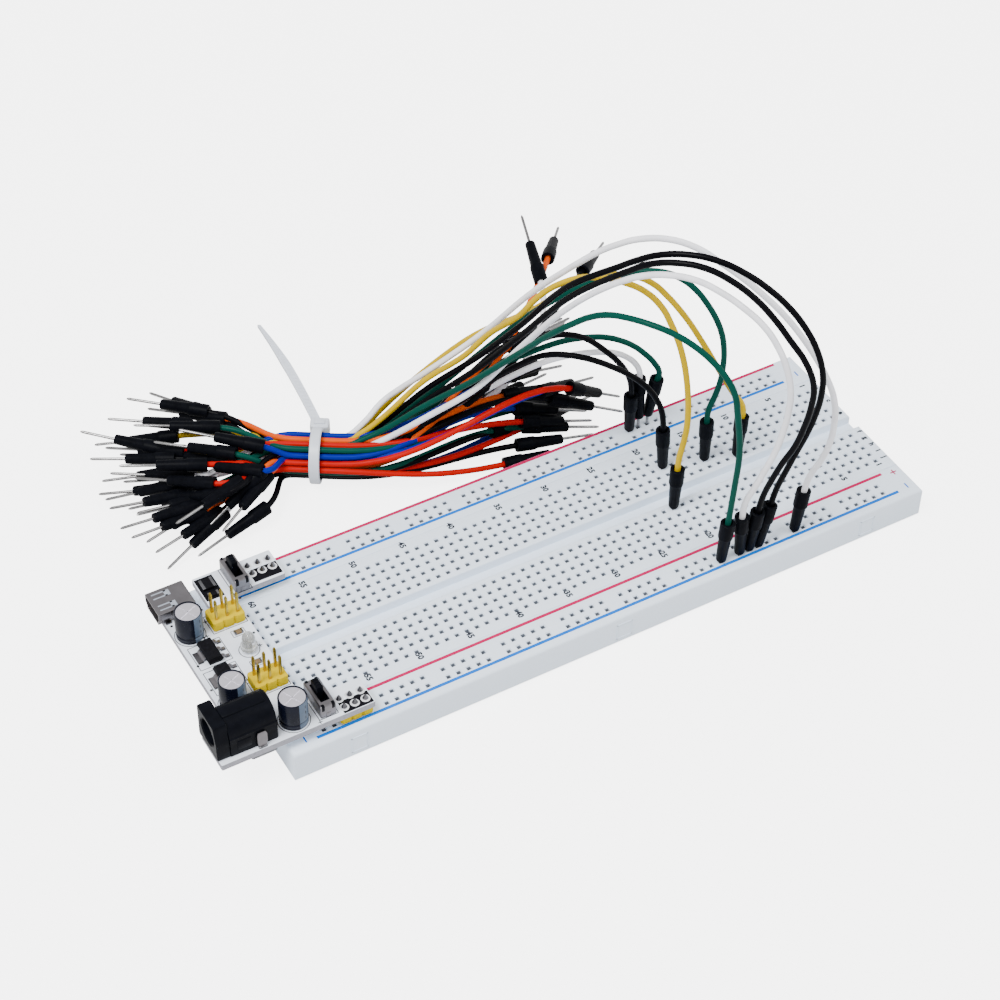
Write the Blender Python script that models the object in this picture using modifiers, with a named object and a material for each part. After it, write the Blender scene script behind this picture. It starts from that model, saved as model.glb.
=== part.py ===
"""Solderless breadboard with a plug-in power module and a tied bundle of jumper leads.

The board lies flat. +X runs along its long side, +Y across it towards the bundle, +Z up.
The origin is the centre of the underside of the adhesive pad. Every length is in metres;
MM turns a size in millimetres into metres.
"""
from math import cos, pi, radians, sin, sqrt

import bmesh
import bpy
from mathutils import Matrix, Vector

MM = 0.001
GAP = 0.3 * MM                      # clearance between neighbouring solids
PITCH = 2.54 * MM                   # contact pitch of the whole board

# Board
BOARD_LENGTH = 165.4 * MM
BOARD_TOP = 8.5 * MM
HOUSING_BASE = 0.8 * MM
STRIP_HALF_WIDTH = 17.3 * MM        # terminal strip, across the board
BUS_INNER = 17.6 * MM
BUS_OUTER = 27.4 * MM
PAD_THICKNESS = 0.5 * MM
EDGE_ROUND = 0.8 * MM
RAVINE_HALF_WIDTH = 1.9 * MM
RAVINE_FLOOR = 6.0 * MM
SOCKET_SIZE = 1.2 * MM
SOCKET_FLOOR = 3.1 * MM
TAPER_TIP = 4.5 * MM
COLUMNS = 63
MIDDLE_COLUMN = 32                  # its sockets lie at x = 0
ROW_A_Y = 13.97 * MM
ROW_F_Y = -3.81 * MM
BUS_ROWS_Y = (21.23 * MM, 23.77 * MM)
BUS_GROUPS = 10
BUS_GROUP_PITCH = 6 * PITCH
CONTACT_LOW = 1.1 * MM
CONTACT_HIGH = 2.5 * MM
TROUGH_ROOF = 2.8 * MM

# Power module
PCB_LOW = 11.1 * MM
PCB_HIGH = 12.7 * MM
ON_PCB = PCB_HIGH + 0.1 * MM        # underside of the pieces that stand on the circuit board
RAIL_PINS_X = (-68.58 * MM, -66.04 * MM, -63.5 * MM)
RAIL_PIN_TIP = 3.6 * MM
HEADER_PIN_TOP = 21.2 * MM
SWITCH_TRAVEL = 2.0 * MM
JACK_AXIS_Y = -19.95 * MM
JACK_AXIS_Z = 17.9 * MM

# Jumper leads
PIN_RADIUS = 0.3 * MM
PIN_TIP = 3.6 * MM
SLEEVE_BASE = 9.0 * MM
SLEEVE_LENGTH = 12.0 * MM
SLEEVE_RADIUS = 1.6 * MM
WIRE_DIAMETER = 1.45 * MM
WIRE_STEP = 3 * WIRE_DIAMETER       # spacing of a wire's points
TIE_CENTRE = Vector((-36.0, 54.0, 7.0)) * MM
TIE_AXIS = Vector((0.84, -0.54, 0.0)).normalized()
TIE_SIDE = Vector((0.54, 0.84, 0.0)).normalized()
WAIST_RADIUS = 5.8 * MM
WAIST_HALF_LENGTH = 5.0 * MM
STRAP_WIDTH = 2.5 * MM

BLACK = (0.012, 0.012, 0.014)
WHITE = (0.80, 0.80, 0.78)
STEEL = (0.62, 0.62, 0.60)
YELLOW = (0.85, 0.62, 0.02)
GREEN = (0.02, 0.30, 0.16)
WIRE_COLOURS = {"black": (0.02, 0.02, 0.025), "white": (0.78, 0.78, 0.76), "green": GREEN, "yellow": YELLOW}

# Each lead: colour, socket (x, y), lean of the sleeve's top (x, y), height above its seat,
# start on the waist's face (sideways, up), then its route from the waist to the plug.
# All in millimetres.
LEADS = (
    ("green", (27.94, -23.77), (0.7, -0.3), 0.0, (0.0, 9.9),
     ((-22.2, 47.3, 14), (-13.5, 40.5, 24), (-6.2, 31.3, 35.5), (-0.7, 21.4, 48.6), (3.5, 10.3, 62.6),
      (9.1, 1.8, 70.9), (15, -8, 73), (20, -14, 71), (24, -19, 67), (27, -23, 61), (28, -24.5, 53),
      (29, -25, 43), (29, -24.5, 32))),
    ("white", (33.02, -23.77), (-0.5, -0.2), 0.0, (-0.9, 8.4),
     ((-22.6, 45.8, 12.5), (-14, 38.8, 22), (-5.2, 31.2, 33), (1.2, 24, 47.2), (6.5, 13.3, 64.6),
      (11.1, 3.8, 76.4), (16, -5, 84), (22, -12, 85.5), (28, -18, 82), (34, -24, 75),
      (37, -28, 66), (38, -29, 58), (37, -28, 44), (34.5, -26, 33))),
    ("black", (35.56, -23.77), (1.0, -0.6), 0.0, (0.8, 8.4),
     ((-21.1, 48.9, 12), (-11.6, 43.2, 22.6), (-3, 34.2, 36), (2.7, 24.8, 50.6), (8.1, 14.5, 66.6),
      (13.2, 2.6, 79.8), (18, -5, 86.5), (25, -12.5, 87.5), (32, -20, 82.5), (38, -26, 73),
      (42, -31, 63), (41, -30, 46), (38.5, -27, 35))),
    ("black", (38.10, -23.77), (2.4, 0.0), 0.0, (2.5, 8.4),
     ((-19.8, 51, 12.6), (-10.2, 45.6, 24), (-1.6, 36.6, 37), (4.1, 27.1, 51.4), (8, 14.8, 69.7),
      (14.1, 6.3, 78.4), (20, -3, 86.5), (27, -10, 87.8), (34, -17, 84.5), (41, -24, 76.5),
      (45, -28.5, 66.5), (46, -29.5, 58.5), (45.5, -28.5, 48), (43, -26, 35))),
    ("white", (48.26, -23.77), (1.4, 0.0), 0.0, (3.3, 9.9),
     ((-18.3, 53.6, 16.8), (-8.8, 46.4, 28.7), (0.2, 38.6, 41.5), (6.8, 28.9, 57.6),
      (10.5, 19.8, 69.6), (15.1, 11.3, 79.9), (20, 3.5, 86.3), (26, -2, 86.8), (32, -7, 82.8),
      (38.5, -12, 76.5), (44, -18, 69.5), (49, -24, 59.5), (52, -27, 50), (52.3, -27.5, 39),
      (51, -25.5, 29))),
    ("yellow", (27.94, -3.81), (0.3, 0.0), 0.0, (1.7, 9.9),
     ((-20.3, 50.2, 15), (-11.3, 45.8, 26.4), (-4, 39.4, 36), (0.1, 34.9, 44.4), (2.8, 26.3, 55.1),
      (6.3, 21.1, 64.5), (11.9, 14.9, 70.7), (17.7, 7.2, 72.6), (22, 1.5, 70.5), (26, -2, 61),
      (28, -4, 51), (29, -5, 37), (28.8, -4.2, 28))),
    ("green", (43.18, 6.35), (-0.2, 0.0), 0.0, (3.3, 7.0),
     ((-18.6, 52.7, 9.8), (-7.7, 47.4, 20.6), (2, 40.5, 34.5), (10.8, 30, 51.5),
      (20.1, 22.8, 60.4), (30, 14, 66), (36, 10.5, 63.5), (41, 7.5, 56.5), (44.5, 5.5, 47),
      (45, 5, 36), (43.8, 6, 27))),
    ("yellow", (50.8, 3.81), (0.4, 0.0), 0.0, (4.2, 8.4),
     ((-17.3, 54.7, 14), (-7.2, 50.4, 25.5), (2, 44.4, 36.3), (10.7, 35.2, 46.4),
      (18.1, 27.3, 56.6), (25, 21, 62), (31, 17.2, 60.5), (37, 13, 53), (42, 10, 43.5),
      (46.3, 7.3, 34), (49.8, 5, 26.5))),
    ("black", (33.02, 8.89), (-0.65, 0.0), 0.0, (0.0, 7.0),
     ((-23.1, 45.6, 9.4), (-10.5, 42.1, 17.2), (-0.5, 36.3, 27.6), (4.4, 31.1, 35.2),
      (10.2, 26.2, 40.4), (16, 20.3, 41.8), (22, 16, 39.5), (27, 13, 35.8), (30.5, 10.8, 31),
      (32.2, 9.2, 25.5))),
    ("black", (33.02, 23.77), (-0.8, -1.0), 0.0, (0.8, 5.6),
     ((-21.9, 47.4, 7.8), (-8, 46.3, 14.2), (3.5, 42, 25.1), (10.9, 36.4, 34.7), (16.5, 30.7, 40.5),
      (21.5, 28, 39.5), (26, 25.5, 35.5), (29.8, 23.5, 30.5), (31.7, 22.7, 25.8))),
    ("white", (35.56, 23.77), (0.0, 1.0), 2.7, (2.5, 5.6),
     ((-20.2, 49.9, 6.9), (-9.5, 47.9, 10.4), (0.5, 43.6, 17.6), (8.4, 37.9, 25.7), (15, 32, 32.3),
      (23, 29.5, 33), (29.5, 27.3, 32), (33.2, 26.2, 29.6))),
    ("green", (38.10, 23.77), (1.2, -1.2), 2.5, (1.7, 7.0),
     ((-20, 50.4, 9), (-9.5, 49.8, 12.6), (0.5, 46.3, 19.6), (7.4, 41.4, 27), (13, 36, 33),
      (20, 32.5, 36), (28, 28.5, 36.5), (33.8, 25.4, 33.8), (37.6, 23.5, 29.5))),
)


# ---------------------------------------------------------------- scene and helpers

def clear_scene():
    for obj in list(bpy.data.objects):
        bpy.data.objects.remove(obj, do_unlink=True)


def new_collection(name):
    group = bpy.data.collections.new(name)
    bpy.context.scene.collection.children.link(group)
    return group


clear_scene()
PARTS = new_collection("solderless_breadboard")
CUTTERS = new_collection("cutters")


def new_material(name, rgb, roughness, metallic):
    material = bpy.data.materials.new(name)
    material.use_nodes = True
    shader = material.node_tree.nodes["Principled BSDF"]
    shader.inputs["Base Color"].default_value = (*rgb, 1.0)
    shader.inputs["Roughness"].default_value = roughness
    shader.inputs["Metallic"].default_value = metallic
    return material


def mm(*values):
    return tuple(value * MM for value in values)


def add_box(bm, low, high):
    low, high = Vector(low), Vector(high)
    place = Matrix.Translation((low + high) / 2) @ Matrix.Diagonal((*(high - low), 1.0))
    bmesh.ops.create_cube(bm, size=1.0, matrix=place)


def add_rod(bm, start, end, radius, end_radius=None, sides=8):
    start, end = Vector(start), Vector(end)
    along = end - start
    turn = along.to_track_quat("Z", "Y").to_matrix().to_4x4()
    place = Matrix.Translation((start + end) / 2) @ turn
    bmesh.ops.create_cone(bm, cap_ends=True, segments=sides, radius1=radius,
                          radius2=radius if end_radius is None else end_radius,
                          depth=along.length, matrix=place)


def mesh_object(name, bm):
    mesh = bpy.data.meshes.new(name)
    bm.to_mesh(mesh)
    bm.free()
    return bpy.data.objects.new(name, mesh)


def finish_part(obj, rgb, roughness=0.5, metallic=0.0):
    """Adds an object to the parts, with a material of its own."""
    obj.data.materials.append(new_material(obj.name, rgb, roughness, metallic))
    PARTS.objects.link(obj)
    return obj


def helper_shape(name, bm):
    """A shape that cuts or joins a part and is not a part itself."""
    obj = mesh_object(name, bm)
    obj.hide_render = True
    obj.display_type = "WIRE"
    CUTTERS.objects.link(obj)
    return obj


def combine(obj, bm, operation, name):
    modifier = obj.modifiers.new(name, "BOOLEAN")
    modifier.operation = operation
    modifier.object = helper_shape(f"{obj.name}.{name}", bm)


def box_part(name, low, high, rgb, roughness=0.5, metallic=0.0):
    bm = bmesh.new()
    add_box(bm, low, high)
    return finish_part(mesh_object(name, bm), rgb, roughness, metallic)


def turned_object(name, profile, sides):
    """A profile of (radius, height) points, turned about the object's Z axis."""
    mesh = bpy.data.meshes.new(name)
    points = [(radius, 0.0, height) for radius, height in profile]
    edges = [(i, i + 1) for i in range(len(points) - 1)]
    mesh.from_pydata(points, edges, [])
    obj = bpy.data.objects.new(name, mesh)
    screw = obj.modifiers.new("turn", "SCREW")
    screw.steps = sides
    screw.render_steps = sides
    screw.use_merge_vertices = True
    screw.merge_threshold = 0.00001
    return obj


def outline_object(name, points, low, high):
    """A flat outline in the XY plane, filled and extruded from height low to high."""
    curve = bpy.data.curves.new(name, "CURVE")
    curve.dimensions = "2D"
    curve.fill_mode = "BOTH"
    curve.extrude = (high - low) / 2
    spline = curve.splines.new("POLY")
    spline.points.add(len(points) - 1)
    for point, (x, y) in zip(spline.points, points):
        point.co = (x, y, 0.0, 1.0)
    spline.use_cyclic_u = True
    obj = bpy.data.objects.new(name, curve)
    obj.location.z = (low + high) / 2
    return obj


def as_mesh(curve_object):
    """Turns a curve object into a closed mesh object that can be cut."""
    bpy.context.scene.collection.objects.link(curve_object)
    bpy.context.view_layer.update()
    shape = curve_object.evaluated_get(bpy.context.evaluated_depsgraph_get())
    mesh = bpy.data.meshes.new_from_object(shape)
    bm = bmesh.new()
    bm.from_mesh(mesh)
    bmesh.ops.remove_doubles(bm, verts=bm.verts, dist=0.00001)
    bm.to_mesh(mesh)
    bm.free()
    name = curve_object.name
    place = curve_object.matrix_world.copy()
    bpy.data.objects.remove(curve_object, do_unlink=True)
    obj = bpy.data.objects.new(name, mesh)
    obj.matrix_world = place
    return obj


# ---------------------------------------------------------------- board

def terminal_sockets():
    """Centres of the sockets in the terminal strip: rows a to e, then rows f to j."""
    places = []
    for column in range(1, COLUMNS + 1):
        x = (MIDDLE_COLUMN - column) * PITCH
        for first in (ROW_A_Y, ROW_F_Y):
            places += [(x, first - row * PITCH) for row in range(5)]
    return places


def bus_sockets(side):
    """Centres of one bus strip's sockets; side is +1 at the back and -1 in front."""
    places = []
    for group in range(BUS_GROUPS):
        centre = (group - (BUS_GROUPS - 1) / 2) * BUS_GROUP_PITCH
        for step in range(-2, 3):
            places += [(centre + step * PITCH, side * y) for y in BUS_ROWS_Y]
    return places


def used_sockets():
    """Centres of the sockets that hold a pin of a lead or of the power module."""
    places = [(lead[1][0] * MM, lead[1][1] * MM) for lead in LEADS]
    for side in (-1, 1):
        places += [(x, side * y) for x in RAIL_PINS_X for y in BUS_ROWS_Y]
    return places


def is_used(place):
    return any(abs(place[0] - x) + abs(place[1] - y) < MM for x, y in used_sockets())


def cut_sockets(housing, places):
    """Straight sockets where a pin is plugged in, and square tapered ones elsewhere."""
    bm = bmesh.new()
    half = SOCKET_SIZE / 2
    above = BOARD_TOP + MM
    widening = (above - TAPER_TIP) / (BOARD_TOP - TAPER_TIP)
    quarter = Matrix.Rotation(pi / 4, 4, "Z")
    for x, y in places:
        if is_used((x, y)):
            add_box(bm, (x - half, y - half, SOCKET_FLOOR), (x + half, y + half, above))
        else:
            place = Matrix.Translation((x, y, (TAPER_TIP + above) / 2)) @ quarter
            bmesh.ops.create_cone(bm, cap_ends=True, segments=4, radius1=0.0,
                                  radius2=half * sqrt(2) * widening,
                                  depth=above - TAPER_TIP, matrix=place)
    combine(housing, bm, "DIFFERENCE", "sockets")


def housing_block(name, y_low, y_high):
    bm = bmesh.new()
    half = BOARD_LENGTH / 2
    add_box(bm, (-half, y_low, HOUSING_BASE), (half, y_high, BOARD_TOP))
    top_edges = [e for e in bm.edges if all(v.co.z > BOARD_TOP - GAP for v in e.verts)]
    ends = [e for e in top_edges if abs(e.verts[0].co.x - e.verts[1].co.x) < GAP]
    outer = [e for e in top_edges if all(abs(v.co.y) > BUS_OUTER - GAP for v in e.verts)]
    bmesh.ops.bevel(bm, geom=list(set(ends + outer)), offset=EDGE_ROUND, segments=2,
                    profile=0.5, affect="EDGES")
    return finish_part(mesh_object(name, bm), WHITE, 0.45)


def terminal_strip():
    strip = housing_block("terminal_strip", -STRIP_HALF_WIDTH, STRIP_HALF_WIDTH)
    bm = bmesh.new()
    reach = BOARD_LENGTH
    add_box(bm, (-reach, -RAVINE_HALF_WIDTH, RAVINE_FLOOR), (reach, RAVINE_HALF_WIDTH, reach))
    combine(strip, bm, "DIFFERENCE", "ravine")
    bm = bmesh.new()
    for middle in (ROW_A_Y - 2 * PITCH, ROW_F_Y - 2 * PITCH):
        low, high = contact_slab_corners(middle, GAP)
        add_box(bm, low, high)
    combine(strip, bm, "DIFFERENCE", "troughs")
    cut_sockets(strip, terminal_sockets())


def contact_slab_corners(middle, margin):
    """Corners of the row of terminal clips under five socket rows, widened by a margin."""
    half_length = (COLUMNS / 2) * PITCH + margin
    half_width = 2.4 * PITCH + margin
    low = HOUSING_BASE - MM if margin else CONTACT_LOW
    high = TROUGH_ROOF if margin else CONTACT_HIGH
    return (-half_length, middle - half_width, low), (half_length, middle + half_width, high)


def terminal_contacts():
    for name, middle in (("far", ROW_A_Y - 2 * PITCH), ("near", ROW_F_Y - 2 * PITCH)):
        low, high = contact_slab_corners(middle, 0.0)
        box_part(f"terminal_contacts_{name}", low, high, STEEL, 0.35, 1.0)


def bus_strip(name, side):
    y_low, y_high = sorted((side * BUS_INNER, side * BUS_OUTER))
    strip = housing_block(f"bus_strip_{name}", y_low, y_high)
    half_length = BUS_GROUPS / 2 * BUS_GROUP_PITCH
    bm = bmesh.new()
    for row, y in enumerate(BUS_ROWS_Y):
        half = 0.8 * MM
        low = (-half_length, side * y - half, CONTACT_LOW)
        high = (half_length, side * y + half, CONTACT_HIGH)
        box_part(f"bus_contact_{name}_{row + 1}", low, high, STEEL, 0.35, 1.0)
        trough_low = (low[0] - GAP, low[1] - GAP, HOUSING_BASE - MM)
        trough_high = (high[0] + GAP, high[1] + GAP, TROUGH_ROOF)
        add_box(bm, trough_low, trough_high)
    combine(strip, bm, "DIFFERENCE", "troughs")
    cut_sockets(strip, bus_sockets(side))


def adhesive_pad():
    half = BOARD_LENGTH / 2 - 0.4 * MM
    width = BUS_OUTER - 0.4 * MM
    box_part("adhesive_pad", (-half, -width, 0.0), (half, width, PAD_THICKNESS), WHITE, 0.9)


# ---------------------------------------------------------------- power module

def circuit_board():
    outline = [mm(-98.2, -25.6), mm(-62.0, -25.6), mm(-62.0, -17.8), mm(-75.2, -17.8),
               mm(-75.2, 17.8), mm(-62.0, 17.8), mm(-62.0, 26.2), mm(-81.2, 26.2),
               mm(-81.2, 14.0), mm(-84.4, 14.0), mm(-84.4, 26.2), mm(-92.0, 26.2),
               mm(-92.0, -15.4), mm(-98.2, -15.4)]
    board = as_mesh(outline_object("pcb", outline, PCB_LOW, PCB_HIGH))
    finish_part(board, WHITE, 0.35)
    bm = bmesh.new()
    for side in (-1, 1):
        for x in RAIL_PINS_X:
            for y in BUS_ROWS_Y:
                add_rod(bm, (x, side * y, PCB_LOW - MM), (x, side * y, PCB_HIGH + MM), 0.7 * MM)
    combine(board, bm, "DIFFERENCE", "pin_holes")


def rail_header(name, side):
    """Six pins that plug into the bus strip, their yellow spacer and their solder domes."""
    y_low, y_high = sorted((side * (BUS_ROWS_Y[0] - PITCH / 2), side * (BUS_ROWS_Y[1] + PITCH / 2)))
    x_low = RAIL_PINS_X[0] - PITCH / 2
    x_high = RAIL_PINS_X[-1] + PITCH / 2
    header = box_part(f"rail_header_{name}", (x_low, y_low, BOARD_TOP + GAP),
                      (x_high, y_high, PCB_LOW - GAP), YELLOW, 0.4)
    pins = bmesh.new()
    domes = bmesh.new()
    dome_base = PCB_HIGH + GAP
    dome_top = 13.9 * MM
    for x in RAIL_PINS_X:
        for y in BUS_ROWS_Y:
            add_rod(pins, (x, side * y, RAIL_PIN_TIP), (x, side * y, dome_base + GAP), PIN_RADIUS)
            add_rod(domes, (x, side * y, dome_base), (x, side * y, dome_top), 1.0 * MM, 0.4 * MM)
    combine(header, pins, "UNION", "pins")
    combine(header, domes, "UNION", "solder")


def pin_header(name, x_low, y_low):
    """A six-pin output header: a yellow base with bare pins, two rows of three."""
    length, width, height = 3 * PITCH, 2 * PITCH, 2.5 * MM
    header = box_part(f"header_{name}", (x_low, y_low, ON_PCB),
                      (x_low + length, y_low + width, ON_PCB + height), YELLOW, 0.4)
    bm = bmesh.new()
    for column in range(3):
        for row in range(2):
            x = x_low + (column + 0.5) * PITCH
            y = y_low + (row + 0.5) * PITCH
            half = 0.32 * MM
            add_box(bm, (x - half, y - half, ON_PCB + MM), (x + half, y + half, HEADER_PIN_TOP))
    combine(header, bm, "UNION", "pins")


def usb_socket():
    shell = box_part("usb_shell", mm(-93.3, 16.2, 12.8), mm(-84.4, 23.9, 16.6), STEEL, 0.35, 1.0)
    bm = bmesh.new()
    wall = 0.45 * MM
    add_box(bm, (-94.3 * MM, 16.2 * MM + wall, 12.8 * MM + wall),
            (-85.4 * MM, 23.9 * MM - wall, 16.6 * MM - wall))
    combine(shell, bm, "DIFFERENCE", "mouth")
    box_part("usb_tongue", mm(-92.7, 18.2, 14.5), mm(-85.7, 21.9, 15.3), BLACK, 0.4)


def dc_jack():
    """The barrel jack: a flange, a square block with a round top, and a bore towards -X."""
    body = box_part("dc_jack_body", mm(-95.5, -24.5, 12.8), mm(-84.4, -15.3, 17.9), BLACK, 0.45)
    barrel = bmesh.new()
    add_rod(barrel, (-95.4 * MM, JACK_AXIS_Y, JACK_AXIS_Z), (-84.5 * MM, JACK_AXIS_Y, JACK_AXIS_Z),
            4.3 * MM, sides=24)
    combine(body, barrel, "UNION", "barrel")
    flange = bmesh.new()
    add_box(flange, mm(-98.5, -24.4, 12.8), mm(-95.3, -15.1, 22.2))
    combine(body, flange, "UNION", "flange")
    bore = bmesh.new()
    add_rod(bore, (-99.5 * MM, JACK_AXIS_Y, JACK_AXIS_Z), (-87.0 * MM, JACK_AXIS_Y, JACK_AXIS_Z),
            3.15 * MM, sides=20)
    combine(body, bore, "DIFFERENCE", "bore")
    pin = bmesh.new()
    add_rod(pin, (-97.6 * MM, JACK_AXIS_Y, JACK_AXIS_Z), (-87.3 * MM, JACK_AXIS_Y, JACK_AXIS_Z),
            1.0 * MM, sides=12)
    finish_part(mesh_object("dc_jack_pin", pin), STEEL, 0.3, 1.0)
    box_part("dc_jack_lug", mm(-89.55, -25.3, 12.8), mm(-87.25, -24.8, 17.0), STEEL, 0.35, 1.0)


def regulator(name, y_low, y_high):
    """A surface-mount regulator: body, wide tab towards -X and three leads towards +X."""
    body = box_part(f"regulator_{name}", (-88.7 * MM, y_low, ON_PCB + 0.2 * MM),
                    (-85.2 * MM, y_high, 14.4 * MM), BLACK, 0.5)
    middle = (y_low + y_high) / 2
    bm = bmesh.new()
    add_box(bm, (-90.3 * MM, middle - 1.6 * MM, ON_PCB), (-88.2 * MM, middle + 1.6 * MM, 13.4 * MM))
    for step in (-1, 0, 1):
        y = middle + step * 2.3 * MM
        add_box(bm, (-86.0 * MM, y - 0.35 * MM, ON_PCB), (-83.6 * MM, y + 0.35 * MM, 13.4 * MM))
    combine(body, bm, "UNION", "leads")


def capacitor(number, x, y, radius):
    """An electrolytic capacitor: a can with a rounded shoulder and a sunken top disc."""
    base, top = ON_PCB, 20.3 * MM
    profile = ((0.0, top - 0.3 * MM), (radius - 0.6 * MM, top - 0.3 * MM),
               (radius - 0.6 * MM, top), (radius - 0.25 * MM, top), (radius, top - 0.4 * MM),
               (radius, base + 1.5 * MM), (radius - 0.25 * MM, base + 1.2 * MM),
               (radius, base + 0.9 * MM), (radius, base), (0.0, base))
    can = turned_object(f"capacitor_{number}", profile, 20)
    can.location = (x, y, 0.0)
    finish_part(can, (0.03, 0.035, 0.09), 0.35)


def power_led():
    profile = ((0.0, 18.0 * MM), (0.75 * MM, 17.8 * MM), (1.3 * MM, 17.2 * MM),
               (1.5 * MM, 16.5 * MM), (1.5 * MM, 14.4 * MM), (1.9 * MM, 14.4 * MM),
               (1.9 * MM, 13.5 * MM), (0.0, 13.5 * MM))
    led = turned_object("power_led", profile, 16)
    led.location = mm(-79.0, 1.0, 0.0)
    finish_part(led, (0.85, 0.87, 0.86), 0.1)
    legs = bmesh.new()
    for offset in (-1.27 * MM, 1.27 * MM):
        x = led.location.x
        y = led.location.y + offset
        half = 0.25 * MM
        add_box(legs, (x - half, y - half, ON_PCB), (x + half, y + half, 14.0 * MM))
    combine(led, legs, "UNION", "legs")


def slide_switch(name, y_low, y_high):
    """A metal frame, and a black slider that starts at the +Y end of its slot."""
    x_low, x_high, top = -74.4 * MM, -70.7 * MM, 16.3 * MM
    frame = box_part(f"switch_{name}_frame", (x_low, y_low, ON_PCB), (x_high, y_high, top),
                     STEEL, 0.35, 1.0)
    middle_x = (x_low + x_high) / 2
    middle_y = (y_low + y_high) / 2
    knob_half_x, knob_half_y = 0.75 * MM, 1.5 * MM
    slot_half_y = knob_half_y + SWITCH_TRAVEL / 2 + GAP
    slot = bmesh.new()
    add_box(slot, (middle_x - knob_half_x - GAP, middle_y - slot_half_y, 13.7 * MM),
            (middle_x + knob_half_x + GAP, middle_y + slot_half_y, top + MM))
    combine(frame, slot, "DIFFERENCE", "slot")
    bm = bmesh.new()
    add_box(bm, (-knob_half_x, -knob_half_y, 14.0 * MM), (knob_half_x, knob_half_y, 18.5 * MM))
    slider = finish_part(mesh_object(f"switch_{name}_slider", bm), BLACK, 0.5)
    slider.location = (middle_x, middle_y + SWITCH_TRAVEL / 2, 0.0)


def chip_resistors():
    for number, (x, y) in enumerate((mm(-78.9, 6.7), mm(-79.1, -3.2)), start=1):
        low = (x - 1.0 * MM, y - 0.6 * MM, ON_PCB)
        high = (x + 1.0 * MM, y + 0.6 * MM, 13.3 * MM)
        box_part(f"resistor_{number}", low, high, BLACK, 0.5)


# ---------------------------------------------------------------- jumper leads

def lead_axis(lead, height):
    """A point on the axis of a lead's sleeve, at a height in millimetres."""
    _, socket, lean, lift, _, _ = lead
    share = (height - lift - SLEEVE_BASE / MM) * MM / SLEEVE_LENGTH
    return Vector((socket[0] + lean[0] * share, socket[1] + lean[1] * share, height)) * MM


def lead_plug(number, lead):
    """A moulded sleeve with a hollow top, and the straight pin below it."""
    _, socket, lean, lift, _, _ = lead
    neck, top, mouth = 1.2 * MM, SLEEVE_LENGTH, 1.1 * MM
    profile = ((0.0, top - 2.4 * MM), (mouth, top - 2.4 * MM), (mouth, top), (SLEEVE_RADIUS, top),
               (SLEEVE_RADIUS, top - 4.8 * MM), (neck, top - 4.8 * MM), (1.1 * MM, 0.8 * MM),
               (0.7 * MM, 0.0), (0.0, 0.0))
    sleeve = turned_object(f"lead_{number:02d}_plug", profile, 8)
    sleeve.location = (socket[0] * MM, socket[1] * MM, SLEEVE_BASE + lift * MM)
    lean_vector = Vector((lean[0] * MM, lean[1] * MM, SLEEVE_LENGTH))
    sleeve.rotation_mode = "QUATERNION"
    sleeve.rotation_quaternion = lean_vector.to_track_quat("Z", "Y")
    finish_part(sleeve, BLACK, 0.5)
    pin = bmesh.new()
    foot = Vector((socket[0] * MM, socket[1] * MM, PIN_TIP + lift * MM))
    head = Vector((foot.x, foot.y, SLEEVE_BASE + (lift + 1.5) * MM))
    add_rod(pin, foot, head, PIN_RADIUS)
    combine(sleeve, pin, "UNION", "pin")


def route_points(lead):
    """The lead's route from the waist's end face, into the hollow top of its sleeve."""
    _, _, _, lift, (sideways, height), route = lead
    start = TIE_CENTRE + TIE_AXIS * (WAIST_HALF_LENGTH + GAP) + TIE_SIDE * sideways * MM
    start.z = height * MM
    leaving = start + TIE_AXIS * 3.0 * MM
    leaving.z += (height - 4.5) * 0.25 * MM
    middle = [Vector(point) * MM for point in route]
    sleeve_top = lift + (SLEEVE_BASE + SLEEVE_LENGTH) / MM
    return [start, leaving, *middle, lead_axis(lead, sleeve_top + 2.5),
            lead_axis(lead, sleeve_top - 1.7)]


def smooth_curve(points, samples=20):
    """Centripetal Catmull-Rom curve through the points, as many short steps."""
    ends = [points[0] * 2 - points[1], *points, points[-1] * 2 - points[-2]]
    result = []
    for p0, p1, p2, p3 in zip(ends, ends[1:], ends[2:], ends[3:]):
        t1 = (p1 - p0).length ** 0.5
        t2 = t1 + (p2 - p1).length ** 0.5
        t3 = t2 + (p3 - p2).length ** 0.5
        for step in range(samples):
            t = t1 + (t2 - t1) * step / samples
            a1 = p0.lerp(p1, t / t1)
            a2 = p1.lerp(p2, (t - t1) / (t2 - t1))
            a3 = p2.lerp(p3, (t - t2) / (t3 - t2))
            b1 = a1.lerp(a2, t / t2)
            b2 = a2.lerp(a3, (t - t1) / (t3 - t1))
            result.append(b1.lerp(b2, (t - t1) / (t2 - t1)))
    return [*result, points[-1]]


def even_points(path, spacing):
    """Points at even distances along a path, about as far apart as the spacing."""
    reach = [0.0]
    for a, b in zip(path, path[1:]):
        reach.append(reach[-1] + (b - a).length)
    count = round(reach[-1] / spacing)
    result = []
    index = 0
    for step in range(count + 1):
        target = reach[-1] * step / count
        while index < len(path) - 2 and reach[index + 1] < target:
            index += 1
        share = (target - reach[index]) / (reach[index + 1] - reach[index])
        result.append(path[index].lerp(path[index + 1], share))
    return result


def lead_wire(number, lead):
    name = f"lead_{number:02d}_wire"
    curve = bpy.data.curves.new(name, "CURVE")
    curve.dimensions = "3D"
    curve.bevel_depth = WIRE_DIAMETER / 2
    curve.bevel_resolution = 2
    curve.use_fill_caps = True
    points = even_points(smooth_curve(route_points(lead)), WIRE_STEP)
    spline = curve.splines.new("POLY")
    spline.points.add(len(points) - 1)
    for point, place in zip(spline.points, points):
        point.co = (*place, 1.0)
    finish_part(bpy.data.objects.new(name, curve), WIRE_COLOURS[lead[0]], 0.4)


# ---------------------------------------------------------------- tied bundle

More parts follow.
